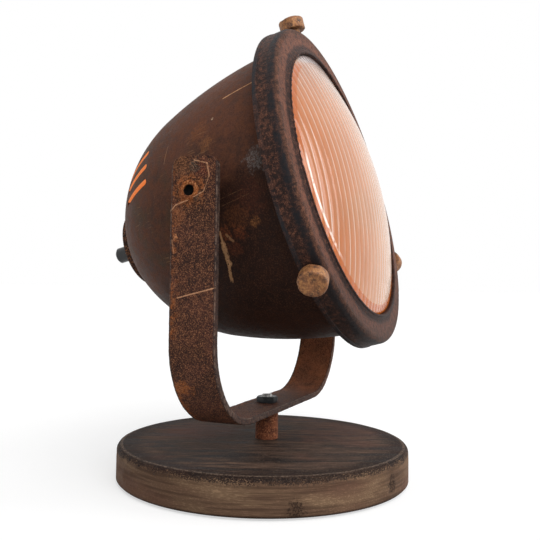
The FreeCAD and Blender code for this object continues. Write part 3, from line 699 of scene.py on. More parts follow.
@dataclass(frozen=True)
class RingFinish(RustFinish):
    """The front ring: a rusty side, a narrow dark band, a brown face, a dark inner slope and painted shade
    underneath, partly its own darker underside.
    """

    name: str = "rusty_ring"
    dark: Colour = paint("2C1F1D")
    middle: Colour = paint("3F2C27")
    warm: Colour = paint("5C382B")
    grains: Colour = paint("8E604A")
    grain_size: float = 0.0005
    clumping: float = 0.8
    coverage: float = -0.05
    grain_strength: float = 0.6
    roughness: float = 0.66
    band: Colour = paint("1C1E22")
    face: Colour = paint("825240")
    face_dark: Colour = paint("553729")
    slope: Colour = paint("34221F")
    back_lip: Colour = paint("24262A")
    # painted shade underneath, partly the ring's own darker underside
    underside_shade: Colour = paint("1E1512")
    outer_radius: float = 0.1112

    def make(self) -> bpy.types.Material:
        """Makes the material. Its stripes go by the way walked over the ring's section, from back to front."""
        finish, rust = self.start()
        local = finish.head_local()
        _, y, z = local.split()
        wander = local.drift(0.0045, 45.0)
        walk = self.outer_radius - local.reach(ROUND_Y) - y + wander
        deep = (walk + local.drift(0.022, 130.0, 5.0, 0.65)).fade(0.0610, 0.0735)
        on_face = walk.fade(0.0595, 0.0635) * walk.fade(0.0775, 0.0735)
        finish.lay(on_face * 0.8, finish.blend(deep, self.face_dark, self.face))
        finish.lay(walk.fade(0.0735, 0.0765) * 0.75, self.slope)
        self.wear(finish, rust, local)
        on_band = walk.fade(0.0550, 0.0575) * walk.fade(0.0628, 0.0598)
        finish.lay(on_band * (local.noise(75.0, 3.0).fade(0.36, 0.56) * 0.45 + 0.42), self.band)
        at_back = (y * -1.0 + wander).fade(0.0505, 0.0488)
        finish.lay(at_back * local.noise(22.0, 3.0).fade(0.36, 0.56) * 0.85, self.back_lip)
        # Painted shade: darker towards the bottom of the ring, partly its own darker underside.
        finish.lay(z.fade(-0.03, -0.09) * 0.45, self.underside_shade)
        return self.close(finish, rust)


@dataclass(frozen=True)
class WoodFinish:
    """The base: dark stain on top that ends in a speckled line on the paler side."""

    name: str = "stained_base"
    stain: Colour = paint("1C1411")
    stain_light: Colour = paint("735A4B")
    red_stain: Colour = paint("643B30")
    # dark stain in the pores and near the rim, and painted shade along the foot of the side
    dark_stain_and_foot_shade: Colour = paint("1C1514")
    # pale speckle on the top, and a painted highlight along the rim
    speckle_and_rim_highlight: Colour = paint("8A7565")
    side: Colour = paint("725846")
    side_light: Colour = paint("A88A6B")
    side_red: Colour = paint("6C4A3E")
    side_dark: Colour = paint("523E31")
    knot: Colour = paint("34271F")
    grain_deg: float = -67.0
    stain_end: float = 0.0209
    radius: float = 0.1
    round_over: float = 0.0035
    red_patch: Place = (0.000, 0.063, 0.0245)
    red_patch_radius: float = 0.014
    knots: tuple[Place, ...] = ((-103.6, 0.0135, 0.0052), (-103.8, 0.0098, 0.0052), (-146.0, 0.0055, 0.0062))

    def make(self) -> bpy.types.Material:
        """Makes the material."""
        finish = Finish(self.name)
        place = finish.place
        grain = finish.group(GRAIN, {"Vector": finish.local(ORIGIN, (0.0, 0.0, math.radians(self.grain_deg)))})
        height = place.split()[2]
        pepper = place.noise(1250.0, 2.0, 0.6)
        top = self.top(finish, grain, pepper)
        side = self.sides(finish, grain)
        edge = height + ((pepper - 0.5) * 0.016 + place.drift(0.006, 130.0, 3.0))
        finish.colour = finish.blend(edge.fade(self.stain_end - 0.0006, self.stain_end + 0.0010), side, top)
        # Painted shade: the foot of the side is painted dark where it meets the floor.
        finish.lay(height.fade(0.0034, 0.0020) * 0.75, self.dark_stain_and_foot_shade)
        finish.set(
            Base_Color=finish.colour, Roughness=grain["Streaks"] * 0.15 + 0.62, Specular_IOR_Level=0.07)
        finish.bump(grain["Height"] + pepper * 0.5, 0.0005, 0.6)
        return finish.material

    def top(self, finish: Finish, grain: dict[str, Value], pepper: Value) -> Value:
        """Colours the stained top, with a painted highlight along its rim.

        Args:
            finish: The finish under construction.
            grain: The wood group's outputs.
            pepper: A fine value.

        Returns:
            The colour.
        """
        place = finish.place
        reach = place.reach(ROUND_Z)
        finish.colour = finish.blend(grain["Streaks"], self.stain, self.stain_light)
        finish.lay(grain["Pores"] * 0.6, self.dark_stain_and_foot_shade)
        finish.lay(place.noise(20.0, 3.0).fade(0.5, 0.66) * 0.28, self.red_stain)
        patch = {"Vector": place, "Middle": self.red_patch, "Radius": self.red_patch_radius}
        finish.lay(finish.group(SPOT, patch)["Mask"] * 0.55, self.red_stain)
        finish.lay((reach + place.drift(0.012, 60.0)).fade(0.080, 0.093) * 0.8, self.dark_stain_and_foot_shade)
        finish.lay(pepper.fade(0.56, 0.66) * 0.28, self.speckle_and_rim_highlight)
        # Painted highlight: a thin light line where the top meets the round-over.
        rim = self.radius - self.round_over
        line = reach.fade(rim - 0.0012, rim) * reach.fade(rim + 0.0016, rim + 0.0004)
        finish.lay(line * pepper.fade(0.4, 0.55) * 0.55, self.speckle_and_rim_highlight)
        return finish.colour

    def sides(self, finish: Finish, grain: dict[str, Value]) -> Value:
        """Colours the paler side, with its dark knots at an angle, a height and a radius each.

        Args:
            finish: The finish under construction.
            grain: The wood group's outputs.

        Returns:
            The colour.
        """
        place = finish.place
        lines = place.vector("MULTIPLY", (14.0, 14.0, 420.0)).noise(1.6, 4.0, 0.6)
        finish.colour = finish.blend(lines.fade(0.40, 0.58), self.side_dark, self.side)
        wide = place.vector("MULTIPLY", (1.0, 1.0, 5.0)).noise(14.0, 3.0)
        finish.lay(wide.fade(0.4, 0.62) * 0.55, self.side_light)
        red = place.vector("MULTIPLY", (1.0, 1.0, 3.0)).noise(9.0, 2.0)
        finish.lay(red.fade(0.45, 0.6) * 0.6, self.side_red)
        finish.lay(grain["Pores"] * 0.45, self.side_dark)
        for turn_deg, height, radius in self.knots:
            turn = math.radians(turn_deg)
            middle = (self.radius * math.cos(turn), self.radius * math.sin(turn), height)
            knot = {"Vector": place, "Middle": middle, "Radius": radius}
            finish.lay(finish.group(SPOT, knot)["Mask"], self.knot)
        return finish.colour


@dataclass(frozen=True)
class CopperFinish:
    """Blotchy antique copper of the thumb screws."""

    name: str = "aged_copper"
    bright: Colour = paint("C08A58")
    middle: Colour = paint("94603A")
    dark: Colour = paint("3E2519")

    def make(self) -> bpy.types.Material:
        """Makes the material."""
        finish = Finish(self.name)
        rust = finish.group(
            WEATHER, {"Vector": finish.place, "Grain Size": 0.0011, "Coverage": 0.02, "Clumping": 0.9})
        blotches = finish.place.noise(260.0, 4.0, 0.65)
        finish.colour = finish.blend(blotches.fade(0.26, 0.58), self.dark, self.middle)
        finish.lay(rust["Grains"] * 0.6, self.bright)
        finish.lay(rust["Pits"] * 0.4, self.dark)
        finish.set(
            Base_Color=finish.colour,
            Metallic=rust["Grains"] * 0.35,
            Roughness=blotches * 0.3 + 0.35,
            Specular_IOR_Level=0.4,
        )
        finish.bump(rust["Height"], 0.0004, 0.6)
        return finish.material


@dataclass(frozen=True)
class PlainFinish:
    """Plain metal, plastic, rubber or felt with fine wear."""

    name: str
    colour: Colour
    worn: Colour
    metallic: float = 0.0
    roughness: float = 0.5
    grain: float = 900.0
    depth: float = 0.0001

    def make(self) -> bpy.types.Material:
        """Makes the material."""
        finish = Finish(self.name, self.colour)
        fine = finish.place.noise(self.grain, 4.0, 0.6)
        wide = finish.place.noise(self.grain * 0.15, 3.0, 0.6)
        finish.lay(fine.fade(0.45, 0.7) * wide.fade(0.4, 0.65), self.worn)
        gloss = fine * 0.25 + (self.roughness - 0.12)
        finish.set(Base_Color=finish.colour, Metallic=self.metallic, Roughness=gloss)
        finish.bump(fine, self.depth, 0.5)
        return finish.material


@dataclass(frozen=True)
class LensFinish:
    """Thick glass that lets some of the lamp's warm light through, and is painted with a glow of that light, a
    milky painted reflection towards the far side and a duller, greyer top.
    """

    name: str = "fluted_glass"
    # painted light: the orange glow of the lit inside on the near side
    near: Colour = paint("C27A42")
    # painted reflection: milky and pale on the far side
    far: Colour = paint("DAB08A")
    top: Colour = paint("9E7C6A")
    # painted highlight along the flutes
    rib_highlight: Colour = paint("F0D4C0")
    border: Colour = paint("B2601C")
    border_top: Colour = paint("B9AAA6")
    border_light: Colour = (0.8, 0.75, 0.15, 1.0)
    own_light: Colour = (0.34, 0.34, 0.34, 1.0)
    glare: Colour = paint("FFF4EA")
    glow_strength: float = 0.36
    border_radius: float = 0.0855
    pitch: float = 0.0065

    def make(self) -> bpy.types.Material:
        """Makes the material, with painted highlights along the ribs, a border and a painted streak of glare
        along its near side.
        """
        finish = Finish(self.name)
        local = finish.head_local()
        x, y, z = local.split()
        radius = local.reach(ROUND_Y)
        # Painted light: orange glow on the near side fades to a milky painted reflection on the far side; the
        # top is duller and greyer.
        drift = local.drift(0.05, 22.0, 3.0)
        across = (x + drift).fade(-0.085, 0.050)
        finish.colour = finish.blend(across, self.near, self.far)
        finish.lay((z + drift).fade(0.045, 0.095) * 0.7, self.top)
        # Painted highlights: pale lines along the flutes.
        turns = (x + z * z * 0.6) / self.pitch
        wave = abs(finish.math("SINE", turns * math.pi))
        clear = local.vector("MULTIPLY", (1.0, 1.0, 0.3)).noise(70.0, 3.0).fade(0.34, 0.56)
        finish.lay(wave.fade(0.42, 0.08) * clear * (1.0 - across * 0.55) * 0.85, self.rib_highlight)
        # The border is painted orange, paler at the top.
        rim = radius.fade(self.border_radius - 0.0002, self.border_radius + 0.0010)
        at_top = z.fade(0.070, 0.084)
        finish.lay(rim, finish.blend(at_top, self.border, self.border_top))
        # Painted highlight: a streak of glare inside the border on the near side, which also glows.
        glare_band = radius.fade(0.0836, 0.0844) * radius.fade(0.0862, 0.0852)
        near_side = z.fade(-0.060, -0.045) * z.fade(0.012, 0.000) * x.fade(-0.02, -0.04)
        streak = glare_band * (near_side * local.noise(160.0, 2.0).fade(0.3, 0.5))
        finish.lay(streak, self.glare)
        # The glass glows with its painted colours, more strongly in the border: painted light.
        share = finish.blend(rim, self.own_light, finish.blend(at_top, self.border_light, self.own_light))
        glow = finish.blend(1.0, finish.colour, share, "MULTIPLY")
        finish.set(
            Base_Color=finish.colour,
            Roughness=0.08,
            IOR=1.48,
            Transmission_Weight=0.4,
            Emission_Color=finish.blend(streak, glow, finish.colour),
            Emission_Strength=self.glow_strength,
        )
        finish.bump(wave + finish.place.noise(90.0, 2.0) * 0.3, 0.0005, 0.35)
        return finish.material


@dataclass(frozen=True)
class GlowFinish:
    """Glass or wire that gives light."""

    name: str
    colour: Colour
    strength: float

    def make(self) -> bpy.types.Material:
        """Makes the material."""
        finish = Finish(self.name)
        dim = finish.blend(finish.place.noise(60.0, 2.0) * 0.15, self.colour, WHITE)
        finish.set(Base_Color=self.colour, Roughness=0.35, Emission_Color=dim, Emission_Strength=self.strength)
        return finish.material


Surface = RustFinish | WoodFinish | CopperFinish | PlainFinish | LensFinish | GlowFinish


def dress(finish: Surface, *names: str) -> None:
    """Gives nodes of the frame a finish.

    Args:
        finish: The finish.
        *names: The nodes' names.
    """
    material = finish.make()
    for name in names:
        node = frame["nodes"][name]
        if not node.material_slots:
            node.data.materials.append(material)
        for slot in node.material_slots:
            slot.material = material
        log.info("%s: %s", name, material.name)


def linked(name: str, data: bpy.types.ID) -> bpy.types.Object:
    """Makes an object of a mesh, a lamp or a camera, and links it to the scene."""
    made = bpy.data.objects.new(name, data)
    bpy.context.scene.collection.objects.link(made)
    return made


def new_piece(name: str, mesh: bpy.types.Mesh, material: bpy.types.Material, body: Body) -> bpy.types.Object:
    """Makes a piece of the lamp.

    Args:
        name: The piece's name.
        mesh: Its mesh, in the frame.
        material: Its material.
        body: The body that it rides on.

    Returns:
        The new object.
    """
    piece = linked(name, mesh)
    mesh.materials.append(material)
    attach(piece, body.value)
    log.info("%s: %d faces", name, len(mesh.polygons))
    return piece


def mesh_of(name: str, build: bmesh.types.BMesh) -> bpy.types.Mesh:
    """Makes a smooth mesh of what was built, which ends the building."""
    mesh = bpy.data.meshes.new(name)
    build.to_mesh(mesh)
    build.free()
    mesh.shade_smooth()
    return mesh


def closed_mesh(name: str, rows: Sequence[Sequence[Vector]]) -> bpy.types.Mesh:
    """Skins rows of points into a shell, and caps both ends.

    Args:
        name: The mesh's name.
        rows: Rows with as many points each.

    Returns:
        The mesh, with its faces pointing outwards.
    """
    build = bmesh.new()
    grid = [[build.verts.new(point) for point in row] for row in rows]
    count = len(rows[0])
    for lower, upper in zip(grid, grid[1:]):
        for step in range(count):
            after = (step + 1) % count
            build.faces.new((lower[step], lower[after], upper[after], upper[step]))
    for row in (grid[0], grid[-1]):
        build.faces.new(row)
    bmesh.ops.remove_doubles(build, verts=build.verts, dist=1e-7)
    bmesh.ops.recalc_face_normals(build, faces=build.faces)
    return mesh_of(name, build)


def turned(
    name: str,
    outline: Iterable[Point],
    segments: int,
    put: Callable[[float, float, float], Vector] = lambda x, y, z: Vector((x, y, z)),
    cut: Callable[[float, float, float], float] = lambda radius, height, share: radius,
) -> bpy.types.Mesh:
    """Turns an outline about an axis.

    Args:
        name: The mesh's name.
        outline: Radius and height of each corner, from one end to the other.
        segments: Points round the axis.
        put: Puts a point of the turned shape, which stands on Z, into the frame.
        cut: Gives the radius that is left at a radius, a height and a share of a turn.

    Returns:
        The mesh.
    """
    rows = []
    for radius, height in outline:
        row = []
        for step in range(segments):
            angle = 2 * math.pi * step / segments
            reach = cut(radius, height, step / segments)
            row.append(put(reach * math.cos(angle), reach * math.sin(angle), height))
        rows.append(row)
    return closed_mesh(name, rows)


def groove(turns: float, share: float, depth: float) -> float:
    """Gives the depth of a thread, so many turns up and a share of a turn round."""
    return depth * abs(2 * ((turns - share) % 1.0) - 1)


def reshaped(mesh: bpy.types.Mesh, shift: Callable[[Vector, Vector], float]) -> None:
    """Moves each corner of a mesh along its normal, by what shift gives for its place and its normal."""
    normals = [vertex.normal.copy() for vertex in mesh.vertices]
    for vertex, normal in zip(mesh.vertices, normals):
        vertex.co += normal * shift(vertex.co, normal)
    mesh.update()


def arc(centre: Point, radius: float, start_deg: float, end_deg: float, steps: int) -> list[Point]:
    """Lists points along a round corner.

    Args:
        centre: The corner's centre.
        radius: The corner's radius.
        start_deg: Angle of the first point.
        end_deg: Angle of the last point.
        steps: How many stretches the corner has.

    Returns:
        The points, ends included.
    """
    angles = [math.radians(start_deg + (end_deg - start_deg) * step / steps) for step in range(steps + 1)]
    return [(centre[0] + radius * math.cos(angle), centre[1] + radius * math.sin(angle)) for angle in angles]


def bored(piece: bpy.types.Object, centre: Place, axis: Axis, radius: float, length: float) -> None:
    """Cuts a round hole through a piece.

    Args:
        piece: The piece to cut.
        centre: Middle of the hole.
        axis: Direction of the hole.
        radius: Radius of the hole.
        length: Length of the cutter.
    """
    build = bmesh.new()
    place = Matrix.Translation(centre) @ Matrix.Rotation(math.radians(axis.value), 4, "Y")
    bmesh.ops.create_cone(
        build, cap_ends=True, segments=48, radius1=radius, radius2=radius, depth=length, matrix=place)
    mesh = bpy.data.meshes.new("cutter")
    build.to_mesh(mesh)
    build.free()
    cutter = linked("cutter", mesh)
    cut = piece.modifiers.new("bore", "BOOLEAN")
    cut.object = cutter
    cut.solver = "EXACT"
    bake(piece)
    bpy.data.objects.remove(cutter)


def bake(piece: bpy.types.Object) -> None:
    """Turns a piece with its modifiers into a plain mesh."""
    graph = bpy.context.evaluated_depsgraph_get()
    mesh = bpy.data.meshes.new_from_object(piece.evaluated_get(graph), depsgraph=graph)
    piece.modifiers.clear()
    piece.data = mesh


@dataclass
class Stand:
    """The wooden base, its pad, the post and the clamp rod with its nuts."""

    round_over: float = 0.0035
    chamfer: float = 0.001
    segments: int = 288
    longest: float = 0.0025
    pole: float = 0.0004
    unevenness: float = 0.00022
    dent_from: float = 0.28
    dent_depth: float = 0.0022
    worn_width: float = 0.006
    worn_drop: float = 0.008
    post_shift: float = 0.007
    bore_radius: float = 0.0042
    pocket_radius: float = 0.0105
    pocket_depth: float = 0.0111

    def build(self) -> None:
        """Makes the base and dresses the rest."""
        low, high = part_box("wooden_base")
        radius = (high[0] - low[0]) / 2
        centre = (radius - self.round_over, high[2] - self.round_over)
        outline = [(0.0, low[2]), (radius - self.chamfer, low[2]), (radius, low[2] + self.chamfer)]
        outline += arc(centre, self.round_over, 0.0, 90.0, 8) + [(0.0, high[2])]
        mesh = turned("turned_base", self.divided(outline), self.segments)
        self.worn_edge(mesh, radius, high[2])
        piece = new_piece("turned_base", mesh, WoodFinish().make(), Body.STAND)
        pocket_end = low[2] + self.pocket_depth
        bored(piece, (self.post_shift, 0.0, high[2] / 2), Axis.Z, self.bore_radius, high[2] + 0.01)
        bored(piece, (self.post_shift, 0.0, pocket_end / 2), Axis.Z, self.pocket_radius, pocket_end)
        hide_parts("wooden_base")
        self.dress()

    def divided(self, outline: Sequence[Point]) -> list[Point]:
        """Divides an outline that starts and ends on the axis, and keeps it a little off the axis."""
        points = []
        for start, end in zip(outline, outline[1:]):
            pieces = max(1, math.ceil(math.dist(start, end) / self.longest))
            for share in (step / pieces for step in range(pieces)):
                points.append((start[0] + (end[0] - start[0]) * share, start[1] + (end[1] - start[1]) * share))
        return [(max(along, self.pole), height) for along, height in points + [outline[-1]]]

    def worn_edge(self, mesh: bpy.types.Mesh, radius: float, top: float) -> None:
        """Wears the top edge unevenly, with a few small dents.

        Args:
            mesh: The base's mesh.
            radius: The base's radius.
            top: Height of its top.
        """
        for vertex in mesh.vertices:
            x, y, z = vertex.co
            reach = math.hypot(x, y)
            if reach < radius - self.worn_width or z < top - self.worn_drop:
                continue
            wave = noise.noise(Vector((x * 55.0, y * 55.0, z * 90.0)))
            dent = max(0.0, noise.noise(Vector((x * 23.0, y * 23.0, 4.0))) - self.dent_from)
            inward = (wave * 0.5 + 0.5) * self.unevenness + dent * self.dent_depth
            vertex.co -= Vector((x / reach * inward, y / reach * inward, inward * 0.6))
        mesh.update()

    def dress(self) -> None:
        """Gives the other pieces of the stand their finishes."""
        felt = PlainFinish("felt_pad", paint("1A1918"), paint("2C2A28"), roughness=0.95, grain=1400.0)
        dress(felt, "base_pad")
        zinc = PlainFinish("zinc_steel", paint("8E8C88"), paint("5B5650"), 0.85, 0.38)
        dress(zinc, "foot_washer", "foot_nut")
        ThreadedRod().build()
        black = PlainFinish("black_nut", paint("17191B"), paint("3A3B3B"), 0.6, 0.42, 700.0)
        dress(black, "top_nut", "slip_washer")
        post = RustFinish("rusty_post", paint("5A3526"), paint("7E4A34"), paint("95563A"), paint("B87A54"))
        dress(post, "post_tube")


@dataclass
class ThreadedRod:
    """The clamp rod, with a thread all along it."""

    radius: float = 0.0040
    depth: float = 0.00055
    pitch: float = 0.00125
    chamfer: float = 0.0008
    segments: int = 40
    steps_per_turn: int = 6

    def build(self) -> None:
        """Makes the rod."""
        low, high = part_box("clamp_rod")
        middle = Vector(((low[0] + high[0]) / 2, (low[1] + high[1]) / 2, 0.0))
        outline = [(POLE, low[2])]
        height = low[2]
        while height < high[2]:
            outline.append((self.chamfered(min(height - low[2], high[2] - height)), height))
            height += self.pitch / self.steps_per_turn
        outline += [(self.chamfered(0.0), high[2]), (POLE, high[2])]

        def put(x: float, y: float, z: float) -> Vector:
            """Stands a point on the rod's axis."""
            return middle + Vector((x, y, z))

        def cut(radius: float, height: float, share: float) -> float:
            """Cuts the thread."""
            return min(radius, self.radius - groove((height - low[2]) / self.pitch, share, self.depth))

        mesh = turned("threaded_rod", outline, self.segments, put, cut)
        bright = PlainFinish("bright_rod", paint("A9A7A4"), paint("4A4744"), 0.9, 0.3, 1400.0)
        piece = new_piece("threaded_rod", mesh, bright.make(), Body.STAND)
        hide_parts("clamp_rod")

    def chamfered(self, left: float) -> float:
        """Gives the rod's radius at a distance from its nearer end."""
        return self.radius - max(0.0, self.chamfer - left)


@dataclass
class Yoke:
    """The flat bar bent into a U, with its bush."""

    thickness: float = 0.004
    bend_inner: float = 0.050
    end_round: float = 0.007
    edge_round: float = 0.0006
    step: float = 0.00095
    unevenness: float = 0.00016
    crust_reach: float = 0.0115
    crust_height: float = 0.0007
    crust_from: float = 0.150
    bead_height: float = 0.0008
    bead_width: float = 0.0008
    face_skin: float = 0.0008
    ledge_side: float = 0.002
    ledge_top: float = 0.1795
    ledge_turn: float = 0.004
    ledge_fall: float = 0.6
    ledge_foot: float = 0.155
    ledge_height: float = 0.00022
    pivot_bore: float = 0.00405
    rod_bore: float = 0.00605
    end_shares: tuple[float, ...] = (0.03, 0.08, 0.16, 0.28, 0.42, 0.58, 0.78)
    seam: tuple[Point, ...] = (
        (0.0155, 0.1738), (0.0117, 0.1781), (0.0075, 0.1797), (0.0036, 0.1807), (-0.0033, 0.1831),
        (-0.0066, 0.1855), (-0.0084, 0.1879), (-0.0099, 0.1946), (-0.0084, 0.2018), (-0.0044, 0.2044),
        (0.0002, 0.2023), (0.0013, 0.1977),
    )

    def build(self) -> None:
        """Makes the bar and dresses the bush."""
        self.low, self.high = low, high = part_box("yoke_bar")
        self.middle = (low[0] + high[0]) / 2
        self.half_width = (high[1] - low[1]) / 2
        stations = self.stations()
        rows = [self.section(place, normal, self.half_width_at(left)) for place, normal, left in stations]
        mesh = closed_mesh("bent_bar", rows)
        reshaped(mesh, self.relief)
        piece = new_piece("bent_bar", mesh, YokeFinish().make(), Body.YOKE)
        bored(piece, (self.middle, PIVOT.y, PIVOT.z), Axis.X, self.pivot_bore, high[0] - low[0] + 0.01)
        bored(piece, (self.middle, 0.0, low[2]), Axis.Z, self.rod_bore, 0.03)
        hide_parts("yoke_bar")
        dress(PlainFinish("bronze_bush", paint("7A5A2E"), paint("4C3820"), 0.8, 0.45), "swivel_bush")

    def relief(self, place: Vector, normal: Vector) -> float:
        """Gives the height of the bar's rough skin, with lumpy crust on the arms' outer faces."""
        height = (noise.noise(place * 55.0) + 0.5 * noise.noise(place * 190.0)) * self.unevenness
        height += noise.noise(place * 700.0) * self.unevenness * 0.7
        face = (self.high[0] - self.low[0]) / 2
        on_outer = abs(place.x - self.middle) > face - self.face_skin and abs(normal.x) > 0.5
        return height + (self.crust(place) if on_outer and place.z > self.crust_from else 0.0)

    def crust(self, place: Vector) -> float:
        """Gives the height of the crust near a pivot, with its raised seam."""
        flat = Vector((place.y, place.z))
        near = max(0.0, 1.0 - (flat - Vector((PIVOT.y, PIVOT.z))).length / self.crust_reach)
        lumps = noise.noise(place * 420.0) + 0.6 * noise.noise(place * 900.0)
        height = min(1.0, near * 2.2) * self.crust_height * (0.7 + lumps)
        gap = min(self.gap_to(flat, Vector(start), Vector(end)) for start, end in zip(self.seam, self.seam[1:]))
        bead = math.exp(-(gap / self.bead_width) ** 2)
        height += bead * self.bead_height * (1.0 + 0.5 * noise.noise(place * 600.0))
        ledge = self.ledge_top - max(0.0, flat.x - self.ledge_turn) * self.ledge_fall
        if flat.x > self.ledge_side and self.ledge_foot < flat.y < ledge:
            height += self.ledge_height * (1.0 + noise.noise(place * 500.0))
        return height

    def gap_to(self, place: Vector, start: Vector, end: Vector) -> float:
        """Gives the distance from a place to a stretch of line."""
        run = end - start
        share = max(0.0, min(1.0, (place - start).dot(run) / run.length_squared))
        return (place - start - run * share).length

    def stations(self) -> list[tuple[Vector, Vector, float]]:
        """Walks along the middle of the bar.

        Returns:
            The place, the outward normal and the distance left to the nearer end, at each station.
        """
        half = (self.high[0] - self.low[0]) / 2 - self.thickness / 2
        bend = self.bend_inner + self.thickness / 2
        floor = self.low[2] + self.thickness / 2
        straight = self.high[2] - floor - bend
        turn = bend * math.pi / 2
        total = 2 * straight + 2 * turn + 2 * (half - bend)
        ends = [self.end_round * share for share in self.end_shares]
        inner = total - 2 * self.end_round
        count = round(inner / self.step)
        walk = [self.end_round + inner * index / count for index in range(count + 1)]
        places = []
        for run in [0.0] + ends + walk + [total - end for end in reversed(ends)] + [total]:
            side = -1 if run < total - run else 1
            left = min(run, total - run)
            if left <= straight:
                place, normal = Vector((side * half, 0, self.high[2] - left)), Vector((side, 0, 0))
            elif left <= straight + turn:
                angle = (left - straight) / bend
                normal = Vector((side * math.cos(angle), 0, -math.sin(angle)))
                place = Vector((side * (half - bend), 0, floor + bend)) + normal * bend
            else:
                place = Vector((side * (half - bend - (left - straight - turn)), 0, floor))
                normal = Vector((0, 0, -1))
            places.append((place + Vector((self.middle, 0, 0)), normal, left))
        return places

    def half_width_at(self, left: float) -> float:
        """Gives half the bar's width, which narrows over the rounding of the nearer end."""
        if left >= self.end_round:
            return self.half_width
        drop = self.end_round - left
        return self.half_width - self.end_round + math.sqrt(max(0.0, self.end_round ** 2 - drop ** 2))

    def section(self, place: Vector, normal: Vector, half: float) -> list[Vector]:
        """Makes the bar's rounded section at a station.

        Args:
            place: Middle of the section.
            normal: Outward normal of the bar there.
            half: Half the bar's width there.

        Returns:
            The section's points, in order round it.
        """
        wide, deep = half - self.edge_round, self.thickness / 2
        centre = deep - self.edge_round
        count = round((self.half_width - self.edge_round) / self.step)
        points: list[Point] = []
        for side in (1, -1):
            start = 0.0 if side > 0 else 180.0
            points += arc((wide * side, centre * side), self.edge_round, start, start + 90.0, 3)
            points += [(wide * (1 - index / count) * side, deep * side) for index in range(1, 2 * count)]
            points += arc((-wide * side, centre * side), self.edge_round, start + 90.0, start + 180.0, 3)
            points += [(-half * side, centre * share * side) for share in (0.5, 0.0, -0.5)]
        return [place + Vector((0, across, 0)) + normal * out for across, out in points]


@dataclass
class Lens:
    """The domed glass: smooth in front and fluted behind, inside a plain border."""

    wall: float = 0.003
    seat_radius: float = 0.100
    seat_depth: float = 0.003
    glass_radius: float = 0.0919
    back: float = 0.0569
    shoulder: float = 0.0620
    apex: float = 0.0794
    pitch: float = 0.0065
    flute_depth: float = 0.0017
    border: float = 0.0065
    front_inset: float = 0.00175
    segments: int = 320
    inner_rings: int = 96
    outer_rings: int = 40

    def build(self) -> None:
        """Makes the glass level, presses its flutes and tilts it into place."""
        glass = LensFinish().make()
        mesh = turned("fluted_lens", self.outline(), self.segments, lambda x, y, z: Vector((x, -z, y)))
        piece = new_piece("fluted_lens", mesh, glass, Body.HEAD)
        self.flute(piece, glass)
        piece.data.transform(HEAD_PLACE)
        piece.data.materials.clear()
        piece.data.materials.append(glass)
        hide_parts("glass_lens")

    def dome(self, radius: float) -> float:
        """Gives the height of the glass's cap over its rim, at a distance from the axis."""
        rise = self.apex - self.shoulder
        ball = (self.glass_radius * self.glass_radius + rise * rise) / (2 * rise)
        return math.sqrt(ball * ball - radius * radius) - (ball - rise)

    def outline(self) -> list[Point]:
        """Lists the corners of the smooth glass, from its middle behind to its middle in front."""
        inner, outer = self.glass_radius - self.wall, self.glass_radius - self.front_inset
        backs = [max(POLE, inner * ring / self.inner_rings) for ring in range(self.inner_rings + 1)]
        fronts = [max(POLE, outer * ring / self.outer_rings) for ring in range(self.outer_rings, -1, -1)]
        seat = self.back + self.seat_depth
        return [
            *((radius, self.shoulder - self.wall + self.dome(radius)) for radius in backs),
            (inner, self.back), (self.seat_radius, self.back), (self.seat_radius, seat),
            (self.glass_radius, seat), (self.glass_radius, self.shoulder - 0.001),
            (self.glass_radius - 0.0004, self.shoulder + 0.0004),
            *((radius, self.shoulder + self.dome(radius)) for radius in fronts),
        ]

    def flute(self, piece: bpy.types.Object, glass: bpy.types.Material) -> None:
        """Presses the flutes into the back of the glass.

        Args:
            piece: The level glass.
            glass: Its material.
        """
        made = bpy.data.node_groups.new("lens_flutes", "GeometryNodeTree")
        sockets = made.interface
        sockets.new_socket(name="Geometry", in_out="INPUT", socket_type="NodeSocketGeometry")
        wanted = {
            "Pitch": self.pitch,
            "Depth": self.flute_depth,
            "Fluted Radius": self.glass_radius - self.border,
            "Glass": glass,
        }
        for label in wanted:
            kind = "NodeSocketMaterial" if label == "Glass" else "NodeSocketFloat"
            sockets.new_socket(name=label, in_out="INPUT", socket_type=kind)
        sockets.new_socket(name="Geometry", in_out="OUTPUT", socket_type="NodeSocketGeometry")
        tree = Tree(made)
        source = tree.add("NodeGroupInput").outputs
        given = {label: Value(tree, source[label]) for label in ("Geometry", *wanted)}
        place = tree.value("GeometryNodeInputPosition", "Position")
        wave = abs(tree.math("SINE", place.split()[0] / given["Pitch"] * math.pi))
        inside = tree.math("MULTIPLY", given["Fluted Radius"] - place.reach(ROUND_Y), 900.0, True)
        normal = tree.value("GeometryNodeInputNormal", "Normal")
        move = {"Y": wave * inside * given["Depth"]}
        shaped = tree.value("GeometryNodeSetPosition", "Geometry", {
            "Geometry": given["Geometry"],
            "Selection": tree.math("GREATER_THAN", normal.split()[1], 0.3),
            "Offset": tree.value("ShaderNodeCombineXYZ", "Vector", move),
        })
        real = tree.value("GeometryNodeRealizeInstances", "Geometry", {"Geometry": shaped})
        inputs = {"Geometry": real, "Material": given["Glass"]}
        tree.add("NodeGroupOutput", {"Geometry": tree.value("GeometryNodeSetMaterial", "Geometry", inputs)})
        modifier = piece.modifiers.new("flutes", "NODES")
        modifier.node_group = made
        for item in sockets.items_tree:
            if item.item_type == "SOCKET" and item.in_out == "INPUT" and item.name in wanted:
                modifier[item.identifier] = wanted[item.name]
        bake(piece)


